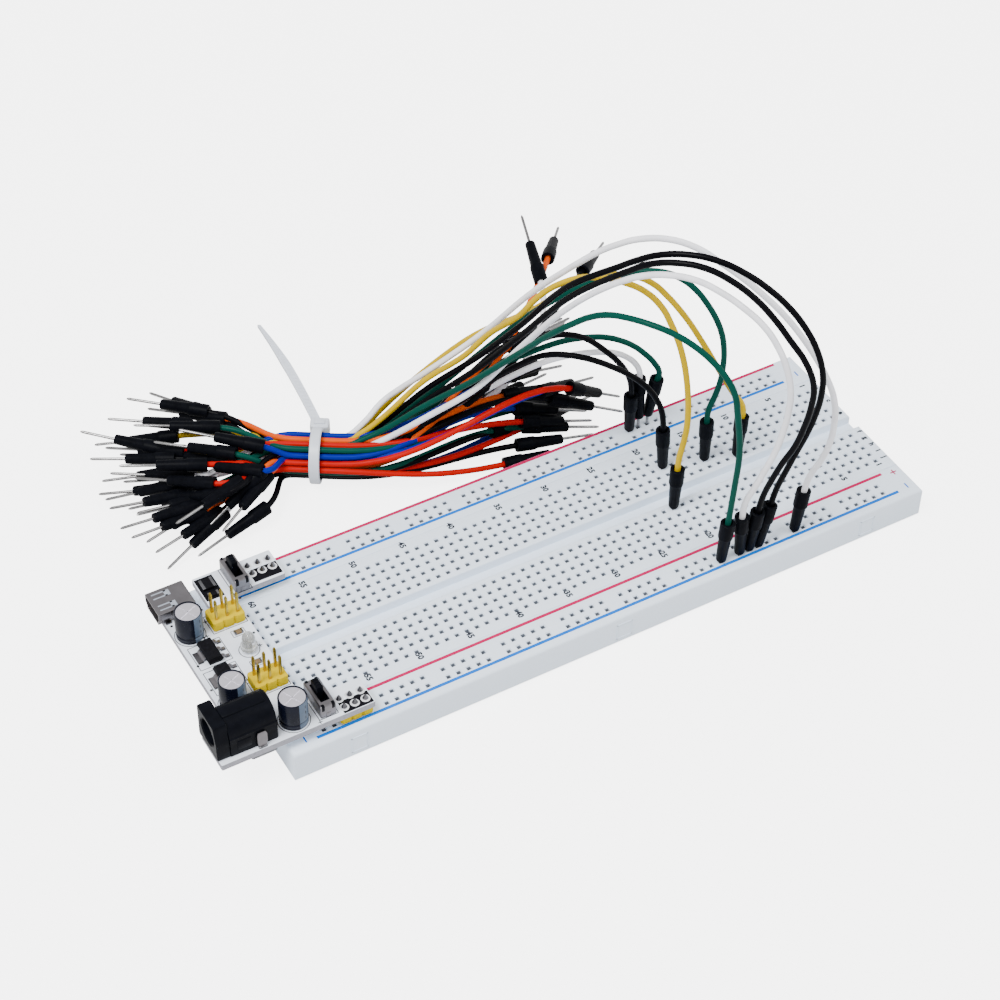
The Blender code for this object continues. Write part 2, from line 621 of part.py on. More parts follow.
def bundle_waist():
    bm = bmesh.new()
    reach = TIE_AXIS * WAIST_HALF_LENGTH
    add_rod(bm, TIE_CENTRE - reach, TIE_CENTRE + reach, WAIST_RADIUS, sides=16)
    finish_part(mesh_object("bundle_waist", bm), WIRE_COLOURS["black"], 0.5)


def fan_point(angle, reach, height):
    """A point at an angle in degrees and a reach from the tie, at a height above the ground."""
    turn = radians(angle)
    place = TIE_CENTRE + Vector((cos(turn), sin(turn), 0.0)) * reach * MM
    return Vector((place.x, place.y, height * MM))


def add_plug(bm, base, end, tip):
    """A sleeve from base to end, and the pin from its end face to the tip."""
    add_rod(bm, base, end, SLEEVE_RADIUS)
    cap = min(bm.faces, key=lambda face: (face.calc_center_median() - end).length)
    bmesh.ops.inset_region(bm, faces=[cap], thickness=SLEEVE_RADIUS - PIN_RADIUS)
    raised = bmesh.ops.extrude_face_region(bm, geom=[cap])["geom"]
    pin_end = [item for item in raised if isinstance(item, bmesh.types.BMVert)]
    bmesh.ops.translate(bm, verts=pin_end, vec=tip - end)
    bmesh.ops.delete(bm, geom=[cap], context="FACES")


def bundle_fan(name, side, face, angles, reach, heights):
    """Loose leads between the waist and their plugs: a wedge, with the outer plugs on it."""
    bm = bmesh.new()
    root = TIE_CENTRE + TIE_AXIS * side * (WAIST_HALF_LENGTH + GAP)
    for sideways, height in face:
        place = root + TIE_SIDE * sideways * MM
        bm.verts.new((place.x, place.y, height * MM))
    for angle in angles:
        for height in heights:
            bm.verts.new(fan_point(angle, reach, height))
    bmesh.ops.convex_hull(bm, input=bm.verts)
    bmesh.ops.recalc_face_normals(bm, faces=bm.faces)
    fan = finish_part(mesh_object(name, bm), WIRE_COLOURS["green"], 0.5)
    plugs = bmesh.new()
    for index, angle in enumerate(angles):
        height = heights[0] + 2.0 + 3.0 * (index % 2)
        add_plug(plugs, *(fan_point(angle, reach + step, height) for step in (-4.0, 12.0, 18.0)))
    combine(fan, plugs, "UNION", "plugs")


def cable_tie():
    """The strap round the waist, its square head behind it and its long tapered tail."""
    inner, outer, half = WAIST_RADIUS + GAP, TIE_CENTRE.z - 0.1 * MM, STRAP_WIDTH / 2
    profile = ((inner, -half), (inner, half), (outer, half), (outer, -half), (inner, -half))
    strap = turned_object("cable_tie", profile, 24)
    strap.location = TIE_CENTRE
    strap.rotation_mode = "QUATERNION"
    strap.rotation_quaternion = TIE_AXIS.to_track_quat("Z", "Y")
    finish_part(strap, (0.85, 0.85, 0.83), 0.4)
    head = bmesh.new()
    head_centre = TIE_CENTRE + TIE_SIDE * 8.35 * MM
    head_centre.z = 8.3 * MM
    tip = Vector(mm(-30.0, 97.0, 13.0))
    head_reach = TIE_AXIS * 2.2 * MM
    add_rod(head, head_centre - head_reach, head_centre + head_reach, 2.2 * MM, sides=4)
    combine(strap, head, "UNION", "head")
    tail = bmesh.new()
    add_rod(tail, head_centre, tip, 1.0 * MM, 0.6 * MM, sides=4)
    combine(strap, tail, "UNION", "tail")


def build():
    adhesive_pad()
    terminal_strip()
    terminal_contacts()
    bus_strip("front", -1)
    bus_strip("back", 1)
    circuit_board()
    rail_header("near", -1)
    rail_header("far", 1)
    pin_header("far", -83.5 * MM, 9.1 * MM)
    pin_header("near", -83.4 * MM, -12.0 * MM)
    usb_socket()
    dc_jack()
    regulator("far", 0.6 * MM, 7.3 * MM)
    regulator("near", -7.4 * MM, -0.8 * MM)
    capacitor(1, -88.4 * MM, 11.2 * MM, 3.1 * MM)
    capacitor(2, -88.6 * MM, -11.2 * MM, 3.1 * MM)
    capacitor(3, -79.5 * MM, -21.7 * MM, 3.2 * MM)
    power_led()
    slide_switch("far", 17.5 * MM, 25.9 * MM)
    slide_switch("near", -24.4 * MM, -16.0 * MM)
    chip_resistors()
    for number, lead in enumerate(LEADS, start=1):
        lead_plug(number, lead)
        lead_wire(number, lead)
    bundle_waist()
    left_face = [(WAIST_RADIUS / MM * cos(pi * k / 6), 7.0 + WAIST_RADIUS / MM * sin(pi * k / 6))
                 for k in range(12)]
    bundle_fan("bundle_left", -1, left_face, range(121, 202, 10), 32.0, (0.5, 8.0))
    right_face = ((-4.6, 4.1), (-3.5, 2.3), (3.5, 2.3), (4.6, 4.1))
    bundle_fan("bundle_right", 1, right_face, range(-18, 32, 8), 54.0, (0.5, 8.0))
    cable_tie()


build()
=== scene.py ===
"""Visual model of a solderless breadboard with a power module and a tied bundle of leads.

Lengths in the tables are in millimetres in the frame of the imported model: +X along the
board, +Y across it towards the bundle, +Z up, origin under the middle of the board.
"""
from math import cos, pi, radians, sin

import bmesh
import bpy
from mathutils import Matrix, Quaternion, Vector
from mathutils.geometry import interpolate_bezier


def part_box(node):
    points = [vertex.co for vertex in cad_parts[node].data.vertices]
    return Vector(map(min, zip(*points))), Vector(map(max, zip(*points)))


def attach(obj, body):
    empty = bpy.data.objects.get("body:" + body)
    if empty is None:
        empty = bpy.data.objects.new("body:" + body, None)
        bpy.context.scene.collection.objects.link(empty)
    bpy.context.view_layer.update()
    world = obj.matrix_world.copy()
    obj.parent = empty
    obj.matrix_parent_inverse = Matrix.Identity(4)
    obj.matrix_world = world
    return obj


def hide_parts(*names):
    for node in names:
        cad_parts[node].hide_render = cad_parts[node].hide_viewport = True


MM = 0.001
PITCH = 2.54                        # contact pitch of the whole board
BOARD_TOP = 8.5
COLUMNS = 63
MIDDLE_COLUMN = 32                  # its sockets lie at x = 0
FAR_ROWS_Y = tuple(13.97 - row * PITCH for row in range(5))
NEAR_ROWS_Y = tuple(-3.81 - row * PITCH for row in range(5))
BUS_ROWS_Y = (21.23, 23.77)
RAIL_PINS_X = (-68.58, -66.04, -63.5)
PCB_LOW = 11.1
PCB_TOP = 12.7
SLEEVE_LENGTH = 12.0
SEATED_SLEEVE_BASE = 9.0
SEATED_PIN = 5.4
FREE_PIN = 8.5
WIRE_DIAMETER = 1.45
MOUTH_DEPTH = 1.7
TIE_CENTRE = Vector((-36.0, 54.0, 7.0))
TIE_AXIS = Vector((0.84, -0.54, 0.0)).normalized()
TIE_SIDE = Vector((0.54, 0.84, 0.0)).normalized()
WAIST_END = 5.3                     # from the tie's centre to where the leads fan out
LEAVING_REACH = 3.0                 # how far a plugged lead runs on from the waist's end
LEAVING_RISE = 0.25                 # its rise there, for each millimetre above LEVEL_PLACE
LEVEL_PLACE = 4.5
HANDLE_SHARE = 0.42                 # a free end's Bezier handles, over its straight length
FREE_END_POINTS = 14
CORD_POINTS = 40
CLIP_NODES = ("terminal_contacts_far", "terminal_contacts_near", "bus_contact_front_1",
              "bus_contact_front_2", "bus_contact_back_1", "bus_contact_back_2")

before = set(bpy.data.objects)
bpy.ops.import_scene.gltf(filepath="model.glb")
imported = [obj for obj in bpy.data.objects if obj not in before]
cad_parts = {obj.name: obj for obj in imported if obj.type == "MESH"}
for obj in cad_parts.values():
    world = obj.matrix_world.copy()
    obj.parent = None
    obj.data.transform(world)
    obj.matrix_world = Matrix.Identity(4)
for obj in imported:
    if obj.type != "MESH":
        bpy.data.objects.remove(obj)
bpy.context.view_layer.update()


def mm(*values):
    return tuple(value * MM for value in values)


def link(obj):
    bpy.context.scene.collection.objects.link(obj)


def column_x(column):
    return (MIDDLE_COLUMN - column) * PITCH


def srgb(red, green, blue):
    """A colour given in 0 to 255 display values, as linear light."""
    channels = (value / 255 for value in (red, green, blue))
    return tuple(c / 12.92 if c <= 0.04045 else ((c + 0.055) / 1.055) ** 2.4 for c in channels)


# ---------------------------------------------------------------- materials

ROUGHNESS_SPAN = 0.08
BUMP_HEIGHT = 0.0002


def mixed_material(name, colour, roughness, variation=0.06, scale=900.0, bump=0.02,
                   metallic=0.0, transmission=0.0, specular=0.5):
    """A Principled material whose colour, gloss and surface vary with fine procedural noise."""
    material = bpy.data.materials.new(name)
    material.use_nodes = True
    nodes, links = material.node_tree.nodes, material.node_tree.links
    shader = nodes["Principled BSDF"]
    shader.inputs["Metallic"].default_value = metallic
    shader.inputs["Specular IOR Level"].default_value = specular
    shader.inputs["Transmission Weight"].default_value = transmission
    where = nodes.new("ShaderNodeTexCoord")
    noise = nodes.new("ShaderNodeTexNoise")
    noise.inputs["Scale"].default_value = scale
    noise.inputs["Detail"].default_value = 3.0
    links.new(where.outputs["Object"], noise.inputs["Vector"])
    ramp = nodes.new("ShaderNodeValToRGB")
    shades = zip(ramp.color_ramp.elements, (0.3, 0.7), (1 - variation, 1 + variation))
    for element, position, factor in shades:
        element.position = position
        element.color = (*(min(1.0, channel * factor) for channel in colour), 1.0)
    spread = nodes.new("ShaderNodeMapRange")
    spread.inputs["To Min"].default_value = max(0.0, roughness - ROUGHNESS_SPAN / 2)
    spread.inputs["To Max"].default_value = roughness + ROUGHNESS_SPAN / 2
    relief = nodes.new("ShaderNodeBump")
    relief.inputs["Strength"].default_value = bump
    relief.inputs["Distance"].default_value = BUMP_HEIGHT
    for source, way_in, way_out, target in (
            (ramp, "Fac", "Color", "Base Color"), (spread, "Value", "Result", "Roughness"),
            (relief, "Height", "Normal", "Normal")):
        links.new(noise.outputs["Fac"], source.inputs[way_in])
        links.new(source.outputs[way_out], shader.inputs[target])
    return material


HOUSING = mixed_material("moulded_white_plastic", srgb(222, 233, 246), 0.45, 0.015, 1400, 0.08,
                         specular=0.35)
# Painted shade: a flat grey for the dark inside the sockets, the cable tie's pawl window and the
# USB shell's cut-outs.
PAINTED_SHADE = mixed_material("socket_shadow", srgb(140, 146, 156), 0.7, 0.1, 900, 0.05,
                             specular=0.1)
CLIP_METAL = mixed_material("contact_spring_metal", srgb(150, 148, 140), 0.35, 0.1, 900, 0.05, 1.0)
FOAM = mixed_material("adhesive_foam", srgb(228, 228, 222), 0.9, 0.05, 2500, 0.5)
RED_INK = mixed_material("red_ink", (0.42, 0.008, 0.078), 0.5, 0.08, 1200, 0.02, specular=0.05)
BLUE_INK = mixed_material("blue_ink", (0.0, 0.125, 0.53), 0.5, 0.08, 1200, 0.02, specular=0.05)
GREY_INK = mixed_material("grey_ink", srgb(48, 51, 58), 0.6, 0.12, 1500, 0.02, specular=0.05)
SLEEVE = mixed_material("moulded_black_sleeve", (0.0024, 0.0027, 0.0042), 0.4, 0.3, 700, 0.2,
                        specular=0.025)
STEEL = mixed_material("tinned_pin", srgb(140, 139, 139), 0.26, 0.15, 500, 0.1, 1.0)
SHEET_STEEL = mixed_material("plated_sheet", srgb(122, 119, 122), 0.32, 0.1, 300, 0.12, 1.0)
SOLDER = mixed_material("solder", srgb(112, 112, 116), 0.24, 0.25, 600, 0.4, 1.0)
TINNED_PAD = mixed_material("tinned_pad", srgb(205, 206, 210), 0.4, 0.05, 600, 0.1, specular=0.4)
MASK_WHITE = mixed_material("white_solder_mask", srgb(222, 228, 238), 0.32, 0.03, 500, 0.1,
                            specular=0.35)
SILK_BLACK = mixed_material("black_silkscreen", (0.004, 0.004, 0.006), 0.5, 0.3, 900, 0.1,
                            specular=0.05)
# Partly painted shade: the board's cut edge shows its core, and its grey is darkened to how that
# edge looks in shadow.
SHADED_BOARD_EDGE = mixed_material("board_core_and_painted_shade", srgb(146, 146, 154), 0.6, 0.12, 1500, 0.2,
                            specular=0.2)
HEADER_YELLOW = mixed_material("yellow_header_plastic", (0.55, 0.40, 0.0), 0.42, 0.05, 800, 0.1,
                               specular=0.02)
JACK_BLACK = mixed_material("jack_black_plastic", (0.0022, 0.0026, 0.0044), 0.34, 0.25, 500, 0.2,
                            specular=0.045)
CHIP_BLACK = mixed_material("chip_epoxy", (0.004, 0.004, 0.0055), 0.6, 0.3, 1500, 0.4,
                            specular=0.06)
CAN_NAVY = mixed_material("capacitor_sleeve", (0.003, 0.004, 0.010), 0.28, 0.2, 400, 0.05,
                          specular=0.16)
CAN_STRIPE = mixed_material("capacitor_stripe", srgb(76, 90, 108), 0.32, 0.08, 500, 0.05,
                            specular=0.25)
ALUMINIUM = mixed_material("capacitor_top", srgb(234, 230, 240), 0.3, 0.05, 700, 0.15, 1.0)
LENS = mixed_material("clear_lens", srgb(238, 240, 240), 0.08, 0.01, 300, 0.02, transmission=0.75)
LEAD_FRAME = mixed_material("led_lead_frame", srgb(120, 118, 110), 0.4, 0.1, 500, 0.1, 1.0)
CERAMIC = mixed_material("ceramic_chip", srgb(106, 88, 62), 0.5, 0.1, 900, 0.1, specular=0.2)
GOLD = mixed_material("plated_pin", srgb(188, 164, 72), 0.28, 0.15, 500, 0.1, 1.0)
NYLON = mixed_material("cable_tie_nylon", srgb(214, 220, 230), 0.34, 0.03, 500, 0.1,
                       transmission=0.15)
WIRE_COLOURS = {
    "black": (0.0016, 0.0016, 0.0026), "white": (0.80, 0.80, 0.84), "green": (0.0, 0.048, 0.034),
    "yellow": (0.50, 0.33, 0.0), "red": (0.40, 0.002, 0.001), "orange": (0.60, 0.07, 0.001),
    "blue": (0.0, 0.009, 0.22),
}
WIRE = {name: mixed_material(f"{name}_insulation", colour, 0.34, 0.06, 260, 0.06, specular=0.05)
        for name, colour in WIRE_COLOURS.items()}


# ---------------------------------------------------------------- building helpers

def place_piece(name, mesh, materials, body):
    """Puts a mesh or curve into the scene as a piece that rides on a body."""
    obj = bpy.data.objects.new(name, mesh)
    link(obj)
    for material in materials:
        mesh.materials.append(material)
    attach(obj, body)
    return obj


def mesh_from(name, bm, sharp=35.0):
    bmesh.ops.recalc_face_normals(bm, faces=bm.faces)
    mesh = bpy.data.meshes.new(name)
    bm.to_mesh(mesh)
    bm.free()
    mesh.shade_smooth()
    mesh.set_sharp_from_angle(angle=radians(sharp))
    return mesh


def add_box(bm, low, high, material=0, bevel=0.0, segments=2):
    """A box between two corners in millimetres, with rounded edges."""
    low, high = Vector(low) * MM, Vector(high) * MM
    place = Matrix.Translation((low + high) / 2) @ Matrix.Diagonal((*(high - low), 1.0))
    made = bmesh.ops.create_cube(bm, size=1.0, matrix=place)
    faces = {face for vert in made["verts"] for face in vert.link_faces}
    for face in faces:
        face.material_index = material
    if bevel:
        edges = list({edge for vert in made["verts"] for edge in vert.link_edges})
        rounded = bmesh.ops.bevel(bm, geom=edges, offset=bevel * MM, segments=segments,
                                  profile=0.5, affect="EDGES")
        for face in rounded["faces"]:
            face.material_index = material


def add_turned(bm, profile, centre=(0.0, 0.0, 0.0), axis=(0.0, 0.0, 1.0), sides=24):
    """A turned form from (radius, height) points that run down its outer side.

    A third number gives the material of the band above its point; without it that is 0.
    """
    turn = Vector(axis).to_track_quat("Z", "Y").to_matrix()
    centre = Vector(centre)
    rings = []
    for radius, height, *_ in profile:
        count = sides if radius > 0 else 1
        ring = []
        for k in range(count):
            angle = 2 * pi * k / sides
            point = Vector((radius * cos(angle), radius * sin(angle), height))
            ring.append(bm.verts.new((centre + turn @ point) * MM))
        rings.append(ring)
    for (upper, lower), point in zip(zip(rings, rings[1:]), profile[1:]):
        for k in range(sides):
            corners = [upper[k % len(upper)], lower[k % len(lower)],
                       lower[(k + 1) % len(lower)], upper[(k + 1) % len(upper)]]
            face = bm.faces.new(list(dict.fromkeys(corners)))
            face.material_index = point[2] if len(point) > 2 else 0


def rounded(points, radius, steps=3):
    """A closed flat outline with each corner replaced by a short curve."""
    points = [Vector(point) for point in points]
    result = []
    for before, corner, after in zip([points[-1], *points], points, [*points[1:], points[0]]):
        start = corner + (before - corner).normalized() * radius
        end = corner + (after - corner).normalized() * radius
        for step in range(steps + 1):
            share = step / steps
            result.append(start.lerp(corner, share).lerp(corner.lerp(end, share), share))
    return result


def rectangle(x_low, x_high, y_low, y_high, radius=0.3):
    return rounded(((x_low, y_low), (x_high, y_low), (x_high, y_high), (x_low, y_high)), radius)


def add_loft(bm, rings, materials=0, cap_start=True, cap_end=True):
    """A skin over rings that all have the same count of points, in millimetres."""
    if isinstance(materials, int):
        materials = [materials] * (len(rings) - 1)
    loops = [[bm.verts.new(Vector(point) * MM) for point in ring] for ring in rings]
    for upper, lower, material in zip(loops, loops[1:], materials):
        for k in range(len(upper)):
            after = (k + 1) % len(upper)
            face = bm.faces.new((upper[k], upper[after], lower[after], lower[k]))
            face.material_index = material
    if cap_start:
        bm.faces.new(loops[0]).material_index = materials[0]
    if cap_end:
        bm.faces.new(loops[-1]).material_index = materials[-1]


def level(outline, z):
    """A flat outline laid at a height."""
    return [(point[0], point[1], z) for point in outline]


def inset_level(box, inset, radius, z):
    """A rounded rectangle inside a box of (x low, x high, y low, y high), at a height."""
    x_low, x_high, y_low, y_high = box
    return level(rectangle(x_low + inset, x_high - inset, y_low + inset, y_high - inset, radius),
                 z)


def add_block(bm, x, y, half_x, half_y, z_low, z_high, material=0, bevel=0.0):
    """A box about a middle line, between two heights."""
    add_box(bm, (x - half_x, y - half_y, z_low), (x + half_x, y + half_y, z_high), material,
            bevel)


def add_ribbon(bm, path, across, half_widths, half_thickness, material=0):
    """A flat strip that follows a path; half_widths is one number or one for each point."""
    path = [Vector(point) for point in path]
    across = Vector(across).normalized()
    if isinstance(half_widths, float):
        half_widths = [half_widths] * len(path)
    rings = []
    for index, point in enumerate(path):
        ahead = path[min(index + 1, len(path) - 1)] - path[max(index - 1, 0)]
        up = across.cross(ahead).normalized() * half_thickness
        side = across * half_widths[index]
        rings.append([point - side - up, point + side - up, point + side + up, point - side + up])
    add_loft(bm, rings, material)


# ---------------------------------------------------------------- camera

CAMERA_LENS = 88.14
CAMERA_SENSOR = 36.0
CAMERA_PLACE = (-213.49, -333.22, 410.66)
CAMERA_TARGET = (-5.97, 18.40, 8.22)
CAMERA_ROLL = 0.888                 # degrees


def add_camera():
    data = bpy.data.cameras.new("camera")
    data.lens = CAMERA_LENS
    data.sensor_width = CAMERA_SENSOR
    camera = bpy.data.objects.new("camera", data)
    camera.location = mm(*CAMERA_PLACE)
    aim = Vector(mm(*CAMERA_TARGET)) - camera.location
    roll = Quaternion((0.0, 0.0, 1.0), radians(CAMERA_ROLL))
    camera.rotation_mode = "QUATERNION"
    camera.rotation_quaternion = aim.to_track_quat("-Z", "Y") @ roll
    link(camera)
    bpy.context.scene.camera = camera


# ---------------------------------------------------------------- jumper leads

# The leads that are plugged in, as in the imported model: colour, socket, lean of the sleeve's
# top, height above its seat, start on the waist's face (sideways, up) and the route from there
# to the plug, then the mouth and the pin's tip of the plug at the other end.
SEATED_LEADS = (
    ("green", (27.94, -23.77), (0.7, -0.3), 0.0, (0.0, 9.9),
     ((-22.2, 47.3, 14), (-13.5, 40.5, 24), (-6.2, 31.3, 35.5), (-0.7, 21.4, 48.6),
      (3.5, 10.3, 62.6), (9.1, 1.8, 70.9), (15, -8, 73), (20, -14, 71), (24, -19, 67),
      (27, -23, 61), (28, -24.5, 53), (29, -25, 43), (29, -24.5, 32)),
     (-56.0, 59.2, 10.0), (-69.7, 74.2, 7.3)),
    ("white", (33.02, -23.77), (-0.5, -0.2), 0.0, (-0.9, 8.4),
     ((-22.6, 45.8, 12.5), (-14, 38.8, 22), (-5.2, 31.2, 33), (1.2, 24, 47.2), (6.5, 13.3, 64.6),
      (11.1, 3.8, 76.4), (16, -5, 84), (22, -12, 85.5), (28, -18, 82), (34, -24, 75),
      (37, -28, 66), (38, -29, 58), (37, -28, 44), (34.5, -26, 33)),
     (-64.3, 61.5, 7.0), (-81.1, 73.1, 6.3)),
    ("black", (35.56, -23.77), (1.0, -0.6), 0.0, (0.8, 8.4),
     ((-21.1, 48.9, 12), (-11.6, 43.2, 22.6), (-3, 34.2, 36), (2.7, 24.8, 50.6), (8.1, 14.5, 66.6),
      (13.2, 2.6, 79.8), (18, -5, 86.5), (25, -12.5, 87.5), (32, -20, 82.5), (38, -26, 73),
      (42, -31, 63), (41, -30, 46), (38.5, -27, 35)),
     (-51.9, 81.5, 6.0), (-59.3, 99.5, 1.4)),
    ("black", (38.10, -23.77), (2.4, 0.0), 0.0, (2.5, 8.4),
     ((-19.8, 51, 12.6), (-10.2, 45.6, 24), (-1.6, 36.6, 37), (4.1, 27.1, 51.4), (8, 14.8, 69.7),
      (14.1, 6.3, 78.4), (20, -3, 86.5), (27, -10, 87.8), (34, -17, 84.5), (41, -24, 76.5),
      (45, -28.5, 66.5), (46, -29.5, 58.5), (45.5, -28.5, 48), (43, -26, 35)),
     (-52.7, 78.7, 9.0), (-68.3, 92.0, 9.6)),
    ("white", (48.26, -23.77), (1.4, 0.0), 0.0, (3.3, 9.9),
     ((-18.3, 53.6, 16.8), (-8.8, 46.4, 28.7), (0.2, 38.6, 41.5), (6.8, 28.9, 57.6),
      (10.5, 19.8, 69.6), (15.1, 11.3, 79.9), (20, 3.5, 86.3), (26, -2, 86.8), (32, -7, 82.8),
      (38.5, -12, 76.5), (44, -18, 69.5), (49, -24, 59.5), (52, -27, 50), (52.3, -27.5, 39),
      (51, -25.5, 29)),
     (-68.0, 60.9, 6.0), (-85.2, 71.6, 2.6)),
    ("yellow", (27.94, -3.81), (0.3, 0.0), 0.0, (1.7, 9.9),
     ((-20.3, 50.2, 15), (-11.3, 45.8, 26.4), (-4, 39.4, 36), (0.1, 34.9, 44.4), (2.8, 26.3, 55.1),
      (6.3, 21.1, 64.5), (11.9, 14.9, 70.7), (17.7, 7.2, 72.6), (22, 1.5, 70.5), (26, -2, 61),
      (28, -4, 51), (29, -5, 37), (28.8, -4.2, 28)),
     (-64.8, 65.8, 6.0), (-82.7, 75.1, 2.8)),
    ("green", (43.18, 6.35), (-0.2, 0.0), 0.0, (3.3, 7.0),
     ((-18.6, 52.7, 9.8), (-7.7, 47.4, 20.6), (2, 40.5, 34.5), (10.8, 30, 51.5),
      (20.1, 22.8, 60.4), (30, 14, 66), (36, 10.5, 63.5), (41, 7.5, 56.5), (44.5, 5.5, 47),
      (45, 5, 36), (43.8, 6, 27)),
     (-58.5, 70.5, 4.0), (-75.0, 82.3, 2.0)),
    ("yellow", (50.8, 3.81), (0.4, 0.0), 0.0, (4.2, 8.4),
     ((-17.3, 54.7, 14), (-7.2, 50.4, 25.5), (2, 44.4, 36.3), (10.7, 35.2, 46.4),
      (18.1, 27.3, 56.6), (25, 21, 62), (31, 17.2, 60.5), (37, 13, 53), (42, 10, 43.5),
      (46.3, 7.3, 34), (49.8, 5, 26.5)),
     (-61.5, 77.5, 6.0), (-79.5, 86.9, 3.5)),
    ("black", (33.02, 8.89), (-0.65, 0.0), 0.0, (0.0, 7.0),
     ((-23.1, 45.6, 9.4), (-10.5, 42.1, 17.2), (-0.5, 36.3, 27.6), (4.4, 31.1, 35.2),
      (10.2, 26.2, 40.4), (16, 20.3, 41.8), (22, 16, 39.5), (27, 13, 35.8), (30.5, 10.8, 31),
      (32.2, 9.2, 25.5)),
     (-66.2, 68.5, 8.0), (-83.6, 79.2, 7.1)),
    ("black", (33.02, 23.77), (-0.8, -1.0), 0.0, (0.8, 5.6),
     ((-21.9, 47.4, 7.8), (-8, 46.3, 14.2), (3.5, 42, 25.1), (10.9, 36.4, 34.7), (16.5, 30.7, 40.5),
      (21.5, 28, 39.5), (26, 25.5, 35.5), (29.8, 23.5, 30.5), (31.7, 22.7, 25.8)),
     (-58.1, 76.3, 9.0), (-75.2, 87.5, 9.6)),
    ("white", (35.56, 23.77), (0.0, 1.0), 2.7, (2.5, 5.6),
     ((-20.2, 49.9, 6.9), (-9.5, 47.9, 10.4), (0.5, 43.6, 17.6), (8.4, 37.9, 25.7), (15, 32, 32.3),
      (23, 29.5, 33), (29.5, 27.3, 32), (33.2, 26.2, 29.6)),
     (-60.0, 64.0, 3.0), (-78.0, 73.6, 1.6)),
    ("green", (38.10, 23.77), (1.2, -1.2), 2.5, (1.7, 7.0),
     ((-20, 50.4, 9), (-9.5, 49.8, 12.6), (0.5, 46.3, 19.6), (7.4, 41.4, 27), (13, 36, 33),
      (20, 32.5, 36), (28, 28.5, 36.5), (33.8, 25.4, 33.8), (37.6, 23.5, 29.5)),
     (-67.4, 72.7, 8.0), (-82.9, 85.9, 10.3)),
)

